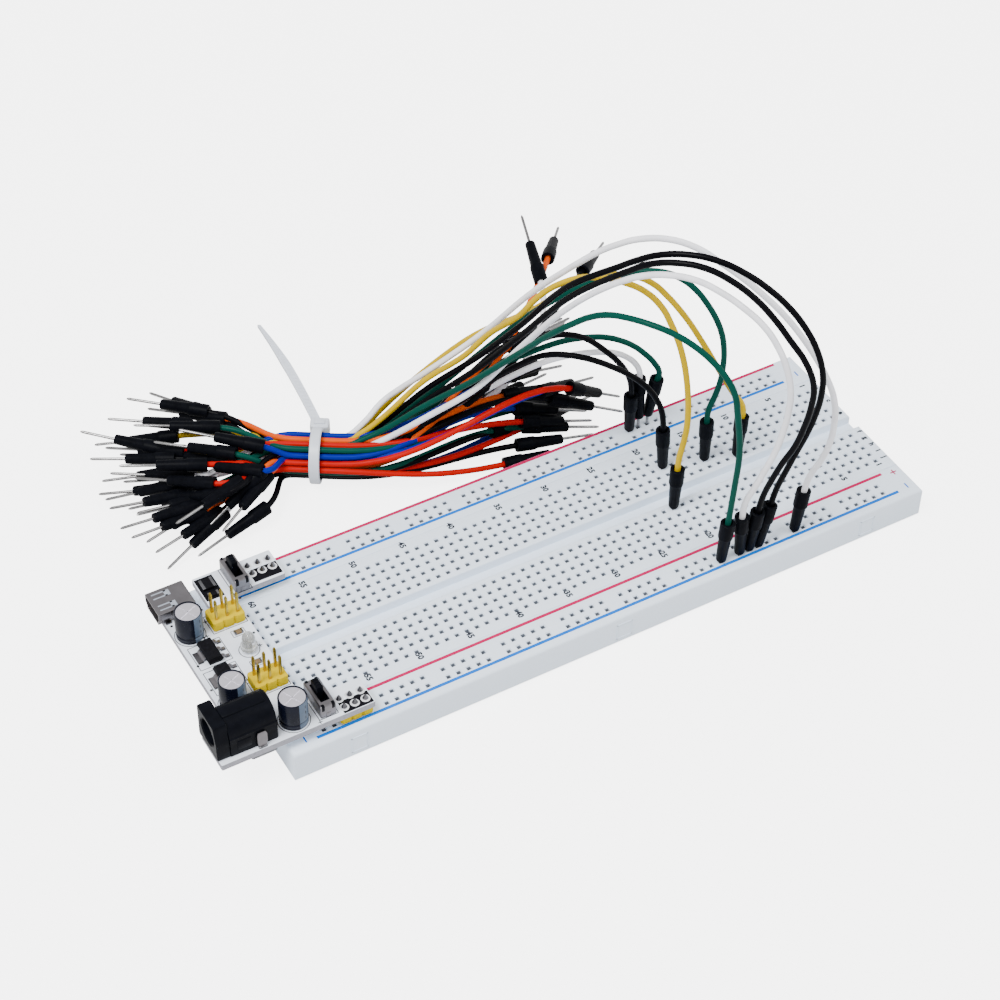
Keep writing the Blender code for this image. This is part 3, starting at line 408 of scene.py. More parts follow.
# The leads with both ends free: colour, place in the waist (sideways, up), then the mouth and
# the pin's tip of the plug on the left, and the same on the right.
LOOSE_LEADS = (
    ("blue", (2.5, 11.3), (-56.5, 66.0, 5.5), (-73.0, 78.0, 3.2),
     (8.0, 42.2, 22.0), (27.7, 45.4, 17.8)),
    ("orange", (0.8, 11.3), (-49.7, 75.3, 8.0), (-64.0, 89.8, 6.1),
     (8.0, 42.2, 16.0), (27.7, 43.4, 10.2)),
    ("red", (-0.8, 11.3), (-63.5, 68.5, 9.0), (-78.5, 82.1, 6.0),
     (10.9, 37.7, 10.0), (30.1, 35.9, 3.2)),
    ("green", (-2.5, 11.3), (-53.5, 70.2, 11.0), (-72.0, 79.0, 13.0),
     (13.0, 44.0, 8.0), (32.2, 46.5, 2.0)),
    ("blue", (-3.3, 9.9), (-48.1, 57.0, 13.0), (-64.2, 69.3, 15.8),
     (10.7, 40.9, 12.0), (29.6, 37.8, 5.1)),
    ("red", (-4.2, 8.4), (-62.0, 59.0, 12.0), (-81.0, 67.0, 13.8),
     (21.3, 33.0, 20.0), (37.6, 35.5, 8.1)),
    ("red", (-5.0, 7.0), (-63.1, 52.2, 12.0), (-77.5, 66.3, 8.8),
     (4.0, 33.8, 2.2), (23.8, 30.6, 1.4)),
    ("green", (-4.2, 5.6), (-54.7, 58.4, 12.5), (-69.6, 72.4, 11.8),
     (12.0, 38.7, 7.0), (31.0, 34.5, 1.8)),
    ("black", (-3.3, 4.1), (-63.0, 50.8, 4.0), (-82.5, 44.3, 5.8),
     (4.0, 40.0, 8.0), (23.8, 41.8, 3.2)),
    ("black", (-2.5, 2.7), (-53.0, 46.0, 5.0), (-73.0, 42.5, 1.4),
     (9.0, 36.5, 4.0), (28.5, 33.0, 1.6)),
    ("white", (5.0, 7.0), (-67.2, 60.1, 8.0), (-84.3, 69.6, 2.1),
     (29.3, 60.0, 30.0), (34.7, 78.9, 35.3)),
    ("black", (4.2, 5.6), (-64.1, 54.5, 8.0), (-80.5, 64.5, 1.6),
     (37.5, 54.5, 34.0), (51.9, 67.7, 28.1)),
    ("orange", (3.3, 4.1), (-67.6, 52.6, 7.0), (-87.5, 51.1, 10.3),
     (36.5, 69.0, 28.0), (48.9, 84.3, 22.6)),
    ("black", (-1.7, 9.9), (-62.7, 49.1, 11.0), (-76.4, 62.7, 4.3),
     (18.8, 37.7, 14.0), (36.8, 32.6, 5.8)),
    ("blue", (-2.5, 8.4), (-51.8, 49.9, 12.6), (-66.3, 64.0, 10.2),
     (15.9, 37.1, 18.0), (34.0, 42.3, 10.6)),
    ("orange", (-3.3, 7.0), (-51.3, 51.1, 12.0), (-69.4, 47.2, 3.2),
     (9.6, 46.0, 18.0), (28.8, 48.6, 11.8)),
    ("red", (-1.7, 7.0), (-57.2, 51.1, 11.0), (-76.6, 44.5, 12.3),
     (6.0, 46.0, 12.0), (25.8, 50.6, 9.0)),
    ("orange", (-2.5, 5.6), (-49.7, 51.8, 9.0), (-67.1, 40.6, 8.3),
     (7.0, 51.0, 9.0), (25.8, 58.6, 6.0)),
    ("green", (-0.8, 5.6), (-67.4, 57.9, 6.0), (-87.0, 58.1, 10.5),
     (18.0, 53.0, 20.0), (37.2, 59.0, 16.0)),
    ("red", (-1.7, 4.1), (-62.6, 54.8, 6.0), (-82.0, 53.5, 10.6),
     (17.0, 40.5, 5.0), (36.8, 44.6, 2.4)),
    ("orange", (0.0, 4.1), (-66.9, 51.8, 5.0), (-86.6, 47.8, 9.6),
     (12.0, 46.0, 27.0), (31.4, 51.4, 23.2)),
    ("black", (1.7, 4.1), (-60.0, 57.0, 3.0), (-79.8, 61.8, 1.6),
     (14.0, 50.0, 24.0), (33.2, 56.0, 19.8)),
    ("blue", (-0.8, 2.7), (-64.6, 54.0, 5.0), (-83.5, 46.5, 7.8),
     (14.0, 44.0, 3.5), (34.0, 48.2, 2.0)),
    ("white", (0.8, 2.7), (-62.0, 50.1, 4.0), (-80.8, 42.2, 1.4),
     (20.0, 56.0, 14.0), (38.8, 63.6, 10.6)),
)


def waist_point(place, end):
    """A lead's place in the waist, at the waist's left (-1) or right (+1) end."""
    sideways, height = place
    point = TIE_CENTRE + TIE_AXIS * end * WAIST_END + TIE_SIDE * sideways
    return Vector((point.x, point.y, height))


def smooth_curve(points, samples=8):
    """Centripetal Catmull-Rom curve through the points."""
    ends = [points[0] * 2 - points[1], *points, points[-1] * 2 - points[-2]]
    result = []
    for p0, p1, p2, p3 in zip(ends, ends[1:], ends[2:], ends[3:]):
        t1 = (p1 - p0).length ** 0.5
        t2 = t1 + (p2 - p1).length ** 0.5
        t3 = t2 + (p3 - p2).length ** 0.5
        for step in range(samples):
            t = t1 + (t2 - t1) * step / samples
            a1 = p0.lerp(p1, t / t1)
            a2 = p1.lerp(p2, (t - t1) / (t2 - t1))
            a3 = p2.lerp(p3, (t - t2) / (t3 - t2))
            result.append(a1.lerp(a2, t / t2).lerp(a2.lerp(a3, (t - t1) / (t3 - t1)),
                                                   (t - t1) / (t2 - t1)))
    return [*result, points[-1]]


def even_points(path, count):
    """Points at even distances along a path, and the path's length."""
    reach = [0.0]
    for a, b in zip(path, path[1:]):
        reach.append(reach[-1] + (b - a).length)
    result = []
    index = 0
    for step in range(count):
        target = reach[-1] * step / (count - 1)
        while index < len(path) - 2 and reach[index + 1] < target:
            index += 1
        share = (target - reach[index]) / (reach[index + 1] - reach[index])
        result.append(path[index].lerp(path[index + 1], share))
    return result, reach[-1]


def free_end(place, end, mouth, tip):
    """The stretch from the waist's face to inside the mouth of a free plug."""
    start = waist_point(place, end)
    mouth, tip = Vector(mouth), Vector(tip)
    heading = (tip - mouth).normalized()
    inside = mouth + heading * MOUTH_DEPTH
    handle = HANDLE_SHARE * (mouth - start).length
    return interpolate_bezier(start, start + TIE_AXIS * end * handle,
                              mouth - heading * handle, inside, FREE_END_POINTS)


def seated_axis(lead, height):
    """A point on the axis of a seated lead's sleeve."""
    _, socket, lean, lift, *_ = lead
    share = (height - lift - SEATED_SLEEVE_BASE) / SLEEVE_LENGTH
    return Vector((socket[0] + lean[0] * share, socket[1] + lean[1] * share, height))


def seated_route(lead):
    """The route of a seated lead from the waist's right face into its sleeve."""
    _, _, _, lift, place, route, _, _ = lead
    start = waist_point(place, 1)
    leaving = start + TIE_AXIS * LEAVING_REACH
    leaving.z += (place[1] - LEVEL_PLACE) * LEAVING_RISE
    top = lift + SEATED_SLEEVE_BASE + SLEEVE_LENGTH
    return smooth_curve([start, leaving, *(Vector(point) for point in route),
                         seated_axis(lead, top + 2.5), seated_axis(lead, top - MOUTH_DEPTH)])


def add_wire(name, colour, path):
    """One lead's insulated wire as a single smooth open spline; returns it with its length."""
    curve = bpy.data.curves.new(name, "CURVE")
    curve.dimensions = "3D"
    curve.bevel_depth = WIRE_DIAMETER / 2 * MM
    curve.bevel_resolution = 4
    curve.resolution_u = 4
    curve.use_fill_caps = True
    points, length = even_points(path, CORD_POINTS)
    spline = curve.splines.new("BEZIER")
    spline.bezier_points.add(len(points) - 1)
    for knot, point in zip(spline.bezier_points, points):
        knot.co = point * MM
        knot.handle_left_type = "AUTO"
        knot.handle_right_type = "AUTO"
    piece = place_piece(name, curve, [WIRE[colour]], "board")
    return piece, length * MM


def plug_profile(pin):
    """A plug from the bottom of its hollow mouth, over the rim, to the tip of its pin."""
    base = -SLEEVE_LENGTH
    return ((0.0, -2.4), (1.0, -2.4), (1.0, -0.2), (1.15, 0.0), (1.6, 0.0), (1.74, -0.14),
            (1.74, -4.4), (1.68, -4.75), (1.48, -5.1), (1.24, base + 0.35), (1.14, base + 0.1),
            (1.0, base), (0.36, base), (0.36, base - 0.05, 1), (0.35, base - pin + 0.6, 1),
            (0.18, base - pin, 1), (0.0, base - pin, 1))


def free_plug(name, mouth, tip):
    mouth, tip = Vector(mouth), Vector(tip)
    obj = place_piece(name, FREE_PLUG_MESH, [], "board")
    obj.location = mouth * MM
    obj.rotation_mode = "QUATERNION"
    obj.rotation_quaternion = (mouth - tip).to_track_quat("Z", "Y")
    return obj


def make_free_plug_mesh():
    bm = bmesh.new()
    add_turned(bm, plug_profile(FREE_PIN), sides=20)
    mesh = mesh_from("free_plug", bm)
    mesh.materials.append(SLEEVE)
    mesh.materials.append(STEEL)
    return mesh


def seated_plug(name, lead, node):
    """A plug whose sleeve leans while its pin stands straight in the socket."""
    _, socket, lean, lift, *_ = lead
    base = Vector((socket[0], socket[1], SEATED_SLEEVE_BASE + lift)) * MM
    bm = bmesh.new()
    add_turned(bm, plug_profile(SEATED_PIN), sides=20)
    turn = Vector((lean[0], lean[1], SLEEVE_LENGTH)).to_track_quat("Z", "Y")
    for vert in bm.verts:
        raised = vert.co + Vector((0.0, 0.0, SLEEVE_LENGTH * MM))
        vert.co = base + (turn @ raised if raised.z > -0.00002 else raised)
    piece = place_piece(name, mesh_from(name, bm), [SLEEVE, STEEL], "board")
    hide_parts(node)
    return piece


def seated_leads():
    for number, lead in enumerate(SEATED_LEADS, start=1):
        name = f"lead_{number:02d}"
        colour, _, _, lift, place, _, mouth, tip = lead
        left = list(reversed(free_end(place, -1, mouth, tip)))
        wire, length = add_wire(f"{name}_insulation", colour,
                                list(reversed(left + seated_route(lead))))
        seated = seated_plug(f"{name}_seated_plug", lead, f"{name}_plug")
        plug = free_plug(f"{name}_free_plug", mouth, tip)
        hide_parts(f"{name}_wire")


def loose_leads():
    wires = []
    for number, (colour, place, *ends) in enumerate(LOOSE_LEADS, start=1):
        name = f"loose_lead_{number:02d}"
        left_mouth, left_tip, right_mouth, right_tip = ends
        left = list(reversed(free_end(place, -1, left_mouth, left_tip)))
        right = list(free_end(place, 1, right_mouth, right_tip))
        wire, length = add_wire(f"{name}_insulation", colour, left + right)
        plugs = [free_plug(f"{name}_left_plug", left_mouth, left_tip),
                 free_plug(f"{name}_right_plug", right_mouth, right_tip)]
        wires.append(wire)
    for wire, node in zip(wires, ("bundle_left", "bundle_right", "bundle_waist")):
        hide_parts(node)


HEAD_REACH = 8.35                   # from the tie's centre to its head
HEAD_HEIGHT = 8.3
TAIL_TIP = Vector((-30.0, 97.0, 13.0))
TAIL_BOW = 2.4
TAIL_HALF_WIDTH = 1.2
TAIL_HALF_THICKNESS = 0.42
TAPER_START = 0.55                  # share of the tail that keeps its full width
TAPER_LOSS = 0.8                    # what the half width loses from there to the tip
TAIL_STEPS = 16
TEETH = 26
STRAP_INNER = 6.05
STRAP_OUTER = 6.85
STRAP_HALF_WIDTH = 1.25


def tail_point(head, share, raised=0.0):
    """A point on the tie's tail, which bows upwards between its head and its tip."""
    point = head.lerp(TAIL_TIP, share)
    point.z += TAIL_BOW * sin(pi * share) + raised
    return point


def tail_half_width(share):
    if share < TAPER_START:
        return TAIL_HALF_WIDTH
    return TAIL_HALF_WIDTH - TAPER_LOSS * (share - TAPER_START) / (1 - TAPER_START)


def strap_mesh():
    """The closed band round the waist."""
    inner, outer, half = STRAP_INNER, STRAP_OUTER, STRAP_HALF_WIDTH
    strap = bmesh.new()
    add_turned(strap, ((inner, half), (outer - 0.2, half), (outer, half - 0.25),
                       (outer, -half + 0.25), (outer - 0.2, -half), (inner, -half),
                       (inner, half)), TIE_CENTRE, TIE_AXIS, 48)
    bmesh.ops.remove_doubles(strap, verts=strap.verts, dist=0.000001)
    loop = bpy.data.meshes.new("strap_loop")
    strap.to_mesh(loop)
    strap.free()
    return loop


def cable_tie():
    """The strap round the waist, its head with the pawl's window drawn as a patch of painted shade,
    and the long tapered tail.
    """
    head = TIE_CENTRE + TIE_SIDE * HEAD_REACH
    head.z = HEAD_HEIGHT
    outward = Vector((TIE_SIDE.x, TIE_SIDE.y, 0.16)).normalized()
    turn = Matrix((TIE_AXIS, outward.cross(TIE_AXIS), outward)).transposed()
    bm = bmesh.new()
    add_box(bm, (-2.3, -2.3, -1.5), (2.3, 2.3, 1.5), bevel=0.45, segments=3)
    add_box(bm, (-1.3, -2.6, -0.6), (1.3, -2.0, 0.6), bevel=0.15)
    # The pawl's window: a grey box of painted shade set into the head.
    add_box(bm, (-1.0, -1.3, 1.3), (1.0, 0.9, 1.62), 1, bevel=0.1)
    for vert in bm.verts:
        vert.co = turn @ vert.co + head * MM
    loop = strap_mesh()
    bm.from_mesh(loop)
    bpy.data.meshes.remove(loop)
    shares = [step / TAIL_STEPS for step in range(TAIL_STEPS + 1)]
    add_ribbon(bm, [tail_point(head, share) for share in shares], TIE_AXIS,
               [tail_half_width(share) for share in shares], TAIL_HALF_THICKNESS)
    along = (TAIL_TIP - head).normalized()
    half_tooth = TIE_AXIS * 0.55
    for tooth in range(TEETH):
        middle = tail_point(head, 0.1 + 0.75 * tooth / (TEETH - 1), TAIL_HALF_THICKNESS)
        add_ribbon(bm, (middle - half_tooth, middle + half_tooth), along, 0.16, 0.06)
    piece = place_piece("cable_tie_strap", mesh_from("cable_tie_strap", bm),
                        [NYLON, PAINTED_SHADE], "board")
    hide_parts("cable_tie")


# ---------------------------------------------------------------- board

SOCKET_HALF = 0.68
SOCKET_NECK = 0.5
SOCKET_CHAMFER_DEPTH = 0.3
SOCKET_LIT_DEPTH = 0.42
SOCKET_FLOOR = 3.2
LEAF_HALF_WIDTH = 0.36
LEAF_TOP = 6.9
LEAF_FOOT = 5.6
LEAF_GAP_FREE = 0.1                 # from the socket's middle line to each spring leaf
LEAF_GAP_USED = 0.31                # the same where a pin holds the leaves apart
HOUSING_FOOT = 0.5
SEAM_TAKEN_UP = 0.13                # how far each housing reaches into the seam beside it
EDGE_ROUND = 0.9
SEAM_ROUND = 0.15
RAVINE_ROUND = 0.45
RAVINE_HALF_WIDTH = 1.95
RAVINE_FLOOR = 6.0
ROUND_STEPS = 4
SQUARE = ((-1, -1), (1, -1), (1, 1), (-1, 1))
USED_SOCKETS = ({lead[1] for lead in SEATED_LEADS}
                | {(x, side * y) for x in RAIL_PINS_X for y in BUS_ROWS_Y for side in (-1, 1)})


def lines_between(low, centres, high):
    """Grid lines: both outer limits and the two edges of every socket between them."""
    edges = [value for c in sorted(centres) for value in (c - SOCKET_HALF, c + SOCKET_HALF)]
    return [low, *edges, high]


def add_socket(bm, corners, x, y):
    """The chamfered mouth, the shaft and the spring leaves of one socket; below SOCKET_LIT_DEPTH
    the shaft's walls and floor are painted grey shade.
    """
    rings = [list(corners)]
    for z in (BOARD_TOP - SOCKET_CHAMFER_DEPTH, BOARD_TOP - SOCKET_LIT_DEPTH, SOCKET_FLOOR):
        rings.append([bm.verts.new(mm(x + sx * SOCKET_NECK, y + sy * SOCKET_NECK, z))
                      for sx, sy in SQUARE])
    # The walls below SOCKET_LIT_DEPTH and the floor take the socket_shadow material: painted shade
    # over what is white plastic.
    for upper, lower, material in zip(rings, rings[1:], (0, 0, 1)):
        for k in range(4):
            after = (k + 1) % 4
            face = bm.faces.new((upper[k], upper[after], lower[after], lower[k]))
            face.material_index = material
    bm.faces.new(rings[-1]).material_index = 1
    used = (round(x, 2), round(y, 2)) in USED_SOCKETS
    for side in (-1, 1):
        wall = side * SOCKET_NECK * 0.98
        tongue = side * (LEAF_GAP_USED if used else LEAF_GAP_FREE)
        leaf = [bm.verts.new(mm(x + px * LEAF_HALF_WIDTH, y + py, z)) for px, py, z in
                ((-1, wall, LEAF_TOP), (1, wall, LEAF_TOP), (1, tongue, LEAF_FOOT),
                 (-1, tongue, LEAF_FOOT))]
        bm.faces.new(leaf).material_index = 2


def add_plate(bm, sockets_x, sockets_y, x_limit, y_low, y_high, round_low, round_high):
    """A moulded block whose top carries a grid of sockets; its long edges may be rounded."""
    x_lines = lines_between(-x_limit + EDGE_ROUND, sockets_x, x_limit - EDGE_ROUND)
    y_lines = lines_between(y_low + round_low, sockets_y, y_high - round_high)
    top = [[bm.verts.new(mm(x, y, BOARD_TOP)) for y in y_lines] for x in x_lines]
    for i in range(len(x_lines) - 1):
        for j in range(len(y_lines) - 1):
            corners = (top[i][j], top[i + 1][j], top[i + 1][j + 1], top[i][j + 1])
            if i % 2 and j % 2:
                add_socket(bm, corners, (x_lines[i] + x_lines[i + 1]) / 2,
                           (y_lines[j] + y_lines[j + 1]) / 2)
            else:
                bm.faces.new(corners)
    last_x, last_y = len(x_lines) - 1, len(y_lines) - 1
    loop = ([(i, 0) for i in range(last_x)] + [(last_x, j) for j in range(last_y)]
            + [(i, last_y) for i in range(last_x, 0, -1)] + [(0, j) for j in range(last_y, 0, -1)])
    ring = [top[i][j] for i, j in loop]
    angles = [step * pi / (2 * ROUND_STEPS) for step in range(1, ROUND_STEPS + 1)]
    steps = [(sin(angle), 1 - cos(angle)) for angle in angles]
    for out, down in [*steps, (1.0, None)]:
        new_ring = []
        for i, j in loop:
            x, y = x_lines[i], y_lines[j]
            reach = 0.0
            if i in (0, last_x):
                x += (out * EDGE_ROUND) * (1 if i else -1)
                reach = EDGE_ROUND
            if j in (0, last_y):
                edge = round_high if j else round_low
                y += out * edge * (1 if j else -1)
                reach = max(reach if i in (0, last_x) else 0.0, edge)
            z = HOUSING_FOOT if down is None else BOARD_TOP - down * reach
            new_ring.append(bm.verts.new(mm(x, y, z)))
        for k in range(len(ring)):
            after = (k + 1) % len(ring)
            bm.faces.new((ring[after], ring[k], new_ring[k], new_ring[after]))
        ring = new_ring
    bm.faces.new(list(reversed(ring)))


def housing_piece(node, bm):
    name = f"{node}_housing"
    piece = place_piece(name, mesh_from(name, bm, 30), [HOUSING, PAINTED_SHADE, CLIP_METAL],
                        "board")
    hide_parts(node)


def terminal_strip():
    _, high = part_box("terminal_strip")
    x_limit, y_limit = high.x / MM, high.y / MM + SEAM_TAKEN_UP
    columns = [column_x(column) for column in range(1, COLUMNS + 1)]
    bm = bmesh.new()
    add_plate(bm, columns, FAR_ROWS_Y, x_limit, RAVINE_HALF_WIDTH, y_limit,
              RAVINE_ROUND, SEAM_ROUND)
    add_plate(bm, columns, NEAR_ROWS_Y, x_limit, -y_limit, -RAVINE_HALF_WIDTH,
              SEAM_ROUND, RAVINE_ROUND)
    floor_half = RAVINE_HALF_WIDTH + 0.05
    add_box(bm, (-x_limit + 0.1, -floor_half, HOUSING_FOOT),
            (x_limit - 0.1, floor_half, RAVINE_FLOOR))
    housing_piece("terminal_strip", bm)


def bus_strip(name, side):
    node = f"bus_strip_{name}"
    low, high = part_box(node)
    x_limit, y_low, y_high = high.x / MM, low.y / MM, high.y / MM
    if side < 0:
        y_high += SEAM_TAKEN_UP
    else:
        y_low -= SEAM_TAKEN_UP
    groups = [(group - 4.5) * 6 * PITCH for group in range(10)]
    columns = [centre + step * PITCH for centre in groups for step in range(-2, 3)]
    rows = [side * y for y in BUS_ROWS_Y]
    bm = bmesh.new()
    rounds = (EDGE_ROUND, SEAM_ROUND) if side < 0 else (SEAM_ROUND, EDGE_ROUND)
    add_plate(bm, columns, rows, x_limit, y_low, y_high, *rounds)
    housing_piece(node, bm)


def add_strip(bm, x, y, half_x, half_y):
    """A flat printed bar on the board's top, about a middle point."""
    add_block(bm, x, y, half_x, half_y, BOARD_TOP - 0.05, BOARD_TOP + 0.03)


RAIL_LINE_HALF_WIDTH = 0.4
SIGN_HALF_LENGTH = 0.85
SIGN_HALF_WIDTH = 0.16
SIGNS_X = (-78.5, 80.0)
# Each colour of rail line: its piece, its ink, the lines (from x, to x, y), and its signs' y.
RAIL_LINES = (
    ("red_rail_lines", RED_INK, ((-77.0, 77.1, -18.5), (-77.0, 77.1, 26.45)), (-19.3, 26.0)),
    ("blue_rail_lines", BLUE_INK, ((-76.0, 77.1, -25.25), (-77.0, 75.6, 19.9)), (-24.5, 20.9)),
)


def printed_lines():
    """The red lines with their plus signs, and the blue lines with their minus signs."""
    for name, material, lines, signs_y in RAIL_LINES:
        bm = bmesh.new()
        for x_low, x_high, y in lines:
            add_strip(bm, (x_low + x_high) / 2, y, (x_high - x_low) / 2, RAIL_LINE_HALF_WIDTH)
        for x, y in ((x, y) for x in SIGNS_X for y in signs_y):
            add_strip(bm, x, y, SIGN_HALF_WIDTH, SIGN_HALF_LENGTH)
            if material is RED_INK:
                add_strip(bm, x, y, SIGN_HALF_LENGTH, SIGN_HALF_WIDTH)
        place_piece(name, mesh_from(name, bm), [material], "board")


def add_label(bm, words, x, y, size):
    """Flat lettering on the board's top, read from the board's right end."""
    text = bpy.data.curves.new("label", "FONT")
    text.body = words
    text.size = size * MM
    text.align_x = "CENTER"
    text.align_y = "CENTER"
    text.resolution_u = 2
    text.extrude = 0.00001
    text.offset = 0.0001
    obj = bpy.data.objects.new("label", text)
    link(obj)
    obj.location = mm(x, y, BOARD_TOP + 0.01)
    obj.rotation_euler.z = -pi / 2
    bpy.context.view_layer.update()
    shape = obj.evaluated_get(bpy.context.evaluated_depsgraph_get())
    mesh = bpy.data.meshes.new_from_object(shape)
    mesh.transform(obj.matrix_world)
    bm.from_mesh(mesh)
    bpy.data.objects.remove(obj, do_unlink=True)
    bpy.data.meshes.remove(mesh)
    bpy.data.curves.remove(text)


NUMBER_SIZE = 2.0
NUMBER_SHIFT = 0.15
NUMBERS_Y = (16.4, -15.5)
LETTER_SIZE = 1.9
LETTERS_X = (81.3, -81.3)


def printed_labels():
    """A number at every fifth column and a letter at both ends of every row."""
    bm = bmesh.new()
    for column in (1, *range(5, COLUMNS, 5)):
        for y in NUMBERS_Y:
            add_label(bm, str(column), column_x(column) - NUMBER_SHIFT, y, NUMBER_SIZE)
    for letter, y in zip("abcdefghij", FAR_ROWS_Y + NEAR_ROWS_Y):
        for x in LETTERS_X:
            add_label(bm, letter, x, y, LETTER_SIZE)
    place_piece("printed_labels", mesh_from("printed_labels", bm), [GREY_INK], "board")


BOARD_SIDE_Y = 27.4
DOVETAILS_X = (-67.0, 0.0, 67.0)
# The four thin ridges of a dovetail's outline: from x, to x, from z, to z.
DOVETAIL_RIDGES = ((-2.0, -1.75, 1.6, 6.2), (1.75, 2.0, 1.6, 6.2),
                   (-2.0, 2.0, 5.95, 6.2), (-2.0, 2.0, 1.6, 1.85))


def dovetail_marks():
    """The shallow outlines of the dovetail joints along the long sides."""
    bm = bmesh.new()
    for side in (-1, 1):
        face = side * BOARD_SIDE_Y
        for x in DOVETAILS_X:
            for low_x, high_x, low_z, high_z in DOVETAIL_RIDGES:
                y_low, y_high = sorted((face - side * 0.05, face + side * 0.12))
                add_box(bm, (x + low_x, y_low, low_z), (x + high_x, y_high, high_z))
    place_piece("dovetail_outlines", mesh_from("dovetail_outlines", bm), [HOUSING], "board")


def foam_pad():
    low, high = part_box("adhesive_pad")
    bm = bmesh.new()
    add_box(bm, low / MM, high / MM, bevel=0.08)
    piece = place_piece("foam_pad", mesh_from("foam_pad", bm), [FOAM], "board")
    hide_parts("adhesive_pad")


# ---------------------------------------------------------------- power module

def module_piece(name, bm, materials, slot, *nodes, sharp=35.0):
    piece = place_piece(name, mesh_from(name, bm, sharp), materials, "power_module")
    if nodes:
        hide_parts(*nodes)
    return piece


# The circuit board's corners: two arms over the rails, a slot in its far edge, and a tab
# under the barrel jack.
PCB_OUTLINE = ((-98.2, -25.6), (-62.0, -25.6), (-62.0, -17.8), (-75.2, -17.8), (-75.2, 17.8),
               (-62.0, 17.8), (-62.0, 26.2), (-81.2, 26.2), (-81.2, 14.0), (-84.4, 14.0),
               (-84.4, 26.2), (-92.0, 26.2), (-92.0, -15.4), (-98.2, -15.4))
PCB_CORNER = 0.35


def circuit_board():
    shape = rounded(PCB_OUTLINE, PCB_CORNER)
    bm = bmesh.new()
    # The side faces take the edge material, whose grey holds painted shade.
    add_loft(bm, [level(shape, PCB_LOW), level(shape, PCB_TOP)], 1, cap_start=False,
             cap_end=False)
    for z in (PCB_LOW, PCB_TOP):
        bm.faces.new([bm.verts.new(mm(*point)) for point in level(shape, z)])
    bmesh.ops.remove_doubles(bm, verts=bm.verts, dist=0.0000005)
    module_piece("power_board", bm, [MASK_WHITE, SHADED_BOARD_EDGE], "circuit_board", "pcb")


def circle(x, y, radius, sides=28):
    return [(x + radius * cos(2 * pi * k / sides), y + radius * sin(2 * pi * k / sides))
            for k in range(sides)]


PRINT_WIDTH = 0.16
PRINT_HALF_THICKNESS = 0.015


def add_outline(bm, outline, width=PRINT_WIDTH):
    """A thin printed line on the circuit board that follows a closed outline."""
    z = PCB_TOP + PRINT_HALF_THICKNESS
    outline = [Vector(point) for point in outline]
    for a, b in zip(outline, [*outline[1:], outline[0]]):
        if (b - a).length > 0.001:
            across = Vector((-(b - a).y, (b - a).x, 0.0))
            add_ribbon(bm, ((a.x, a.y, z), (b.x, b.y, z)), across, width / 2,
                       PRINT_HALF_THICKNESS)


# Where the parts stand on the circuit board.
CAPACITORS = ((-88.4, 11.2, 3.1), (-88.6, -11.2, 3.0), (-79.5, -21.7, 3.2))  # x, y, radius
REGULATORS = (("far", 0.7, 7.3), ("near", -7.4, -0.8))           # y from and to
SWITCHES = (("far", 17.5, 25.9), ("near", -24.4, -16.0))         # y from and to
HEADER_CORNERS = ((-83.5, 9.1), (-83.4, -12.0))
HEADER_JOINTS_X = (-82.2, -79.7, -77.1)
HEADER_JOINTS_Y = (10.4, 12.9, -10.7, -8.2)
SWITCH_JOINT_X = -72.5
SWITCH_JOINTS_Y = (21.7, -20.2)     # the middle one of three
JOINT_STEP = 2.5                    # between a switch's joints, and a capacitor's
CHIP_RESISTORS = ((-78.9, 6.7), (-79.1, -3.2))
LED_X, LED_Y = -79.0, 1.0
LED_AND_JACK_JOINTS = ((-79.0, -0.3), (-79.0, 2.3), (-96.9, -20.0), (-90.6, -20.0))
# The printed blocks: from x, to x, from y, to y.
PRINTED_BLOCKS = ((-69.3, -62.2, -25.4, -21.9), (-69.1, -62.2, 18.5, 22.4),
                  (-81.0, -76.6, 18.4, 25.6))
PLUS_SIGNS = ((-84.0, 13.1), (-84.2, -13.2), (-74.9, -25.0), (-85.4, 9.0), (-76.4, 1.0))
SMALL_PADS = ((-90.9, 15.5), (-86.2, 9.0), (-83.1, 16.8), (-76.3, 14.6), (-91.2, -5.6),
              (-83.0, -15.0), (-76.1, -13.6), (-74.1, 15.9), (-90.8, 2.0), (-76.0, 5.0))


def board_print():
    """The black blocks and outlines printed on the circuit board."""
    bm = bmesh.new()
    for x_low, x_high, y_low, y_high in PRINTED_BLOCKS:
        add_box(bm, (x_low, y_low, PCB_TOP - 0.02), (x_high, y_high, PCB_TOP + 0.02))
    for x, y, radius in CAPACITORS:
        add_outline(bm, circle(x, y, radius + 0.35))
    for _, y_low, y_high in SWITCHES:
        add_outline(bm, rectangle(-74.8, -70.3, y_low - 0.1, y_high + 0.1, 0.1))
    for _, y_low, y_high in REGULATORS:
        add_outline(bm, rectangle(-90.8, -83.2, y_low - 0.25, y_high + 0.25, 0.1), 0.14)
    for x, y in HEADER_CORNERS:
        add_outline(bm, rectangle(x - 0.3, x + 7.9, y - 0.3, y + 5.4, 0.1))
    add_outline(bm, circle(LED_X, LED_Y, 2.3))
    for x, y in PLUS_SIGNS:
        add_outline(bm, ((x - 0.5, y), (x + 0.5, y)))
        add_outline(bm, ((x, y - 0.5), (x, y + 0.5)))
    for x, y in CHIP_RESISTORS:
        add_outline(bm, rectangle(x - 1.5, x + 1.5, y - 0.95, y + 0.95, 0.1), 0.12)
    module_piece("board_print", bm, [SILK_BLACK], "circuit_board")


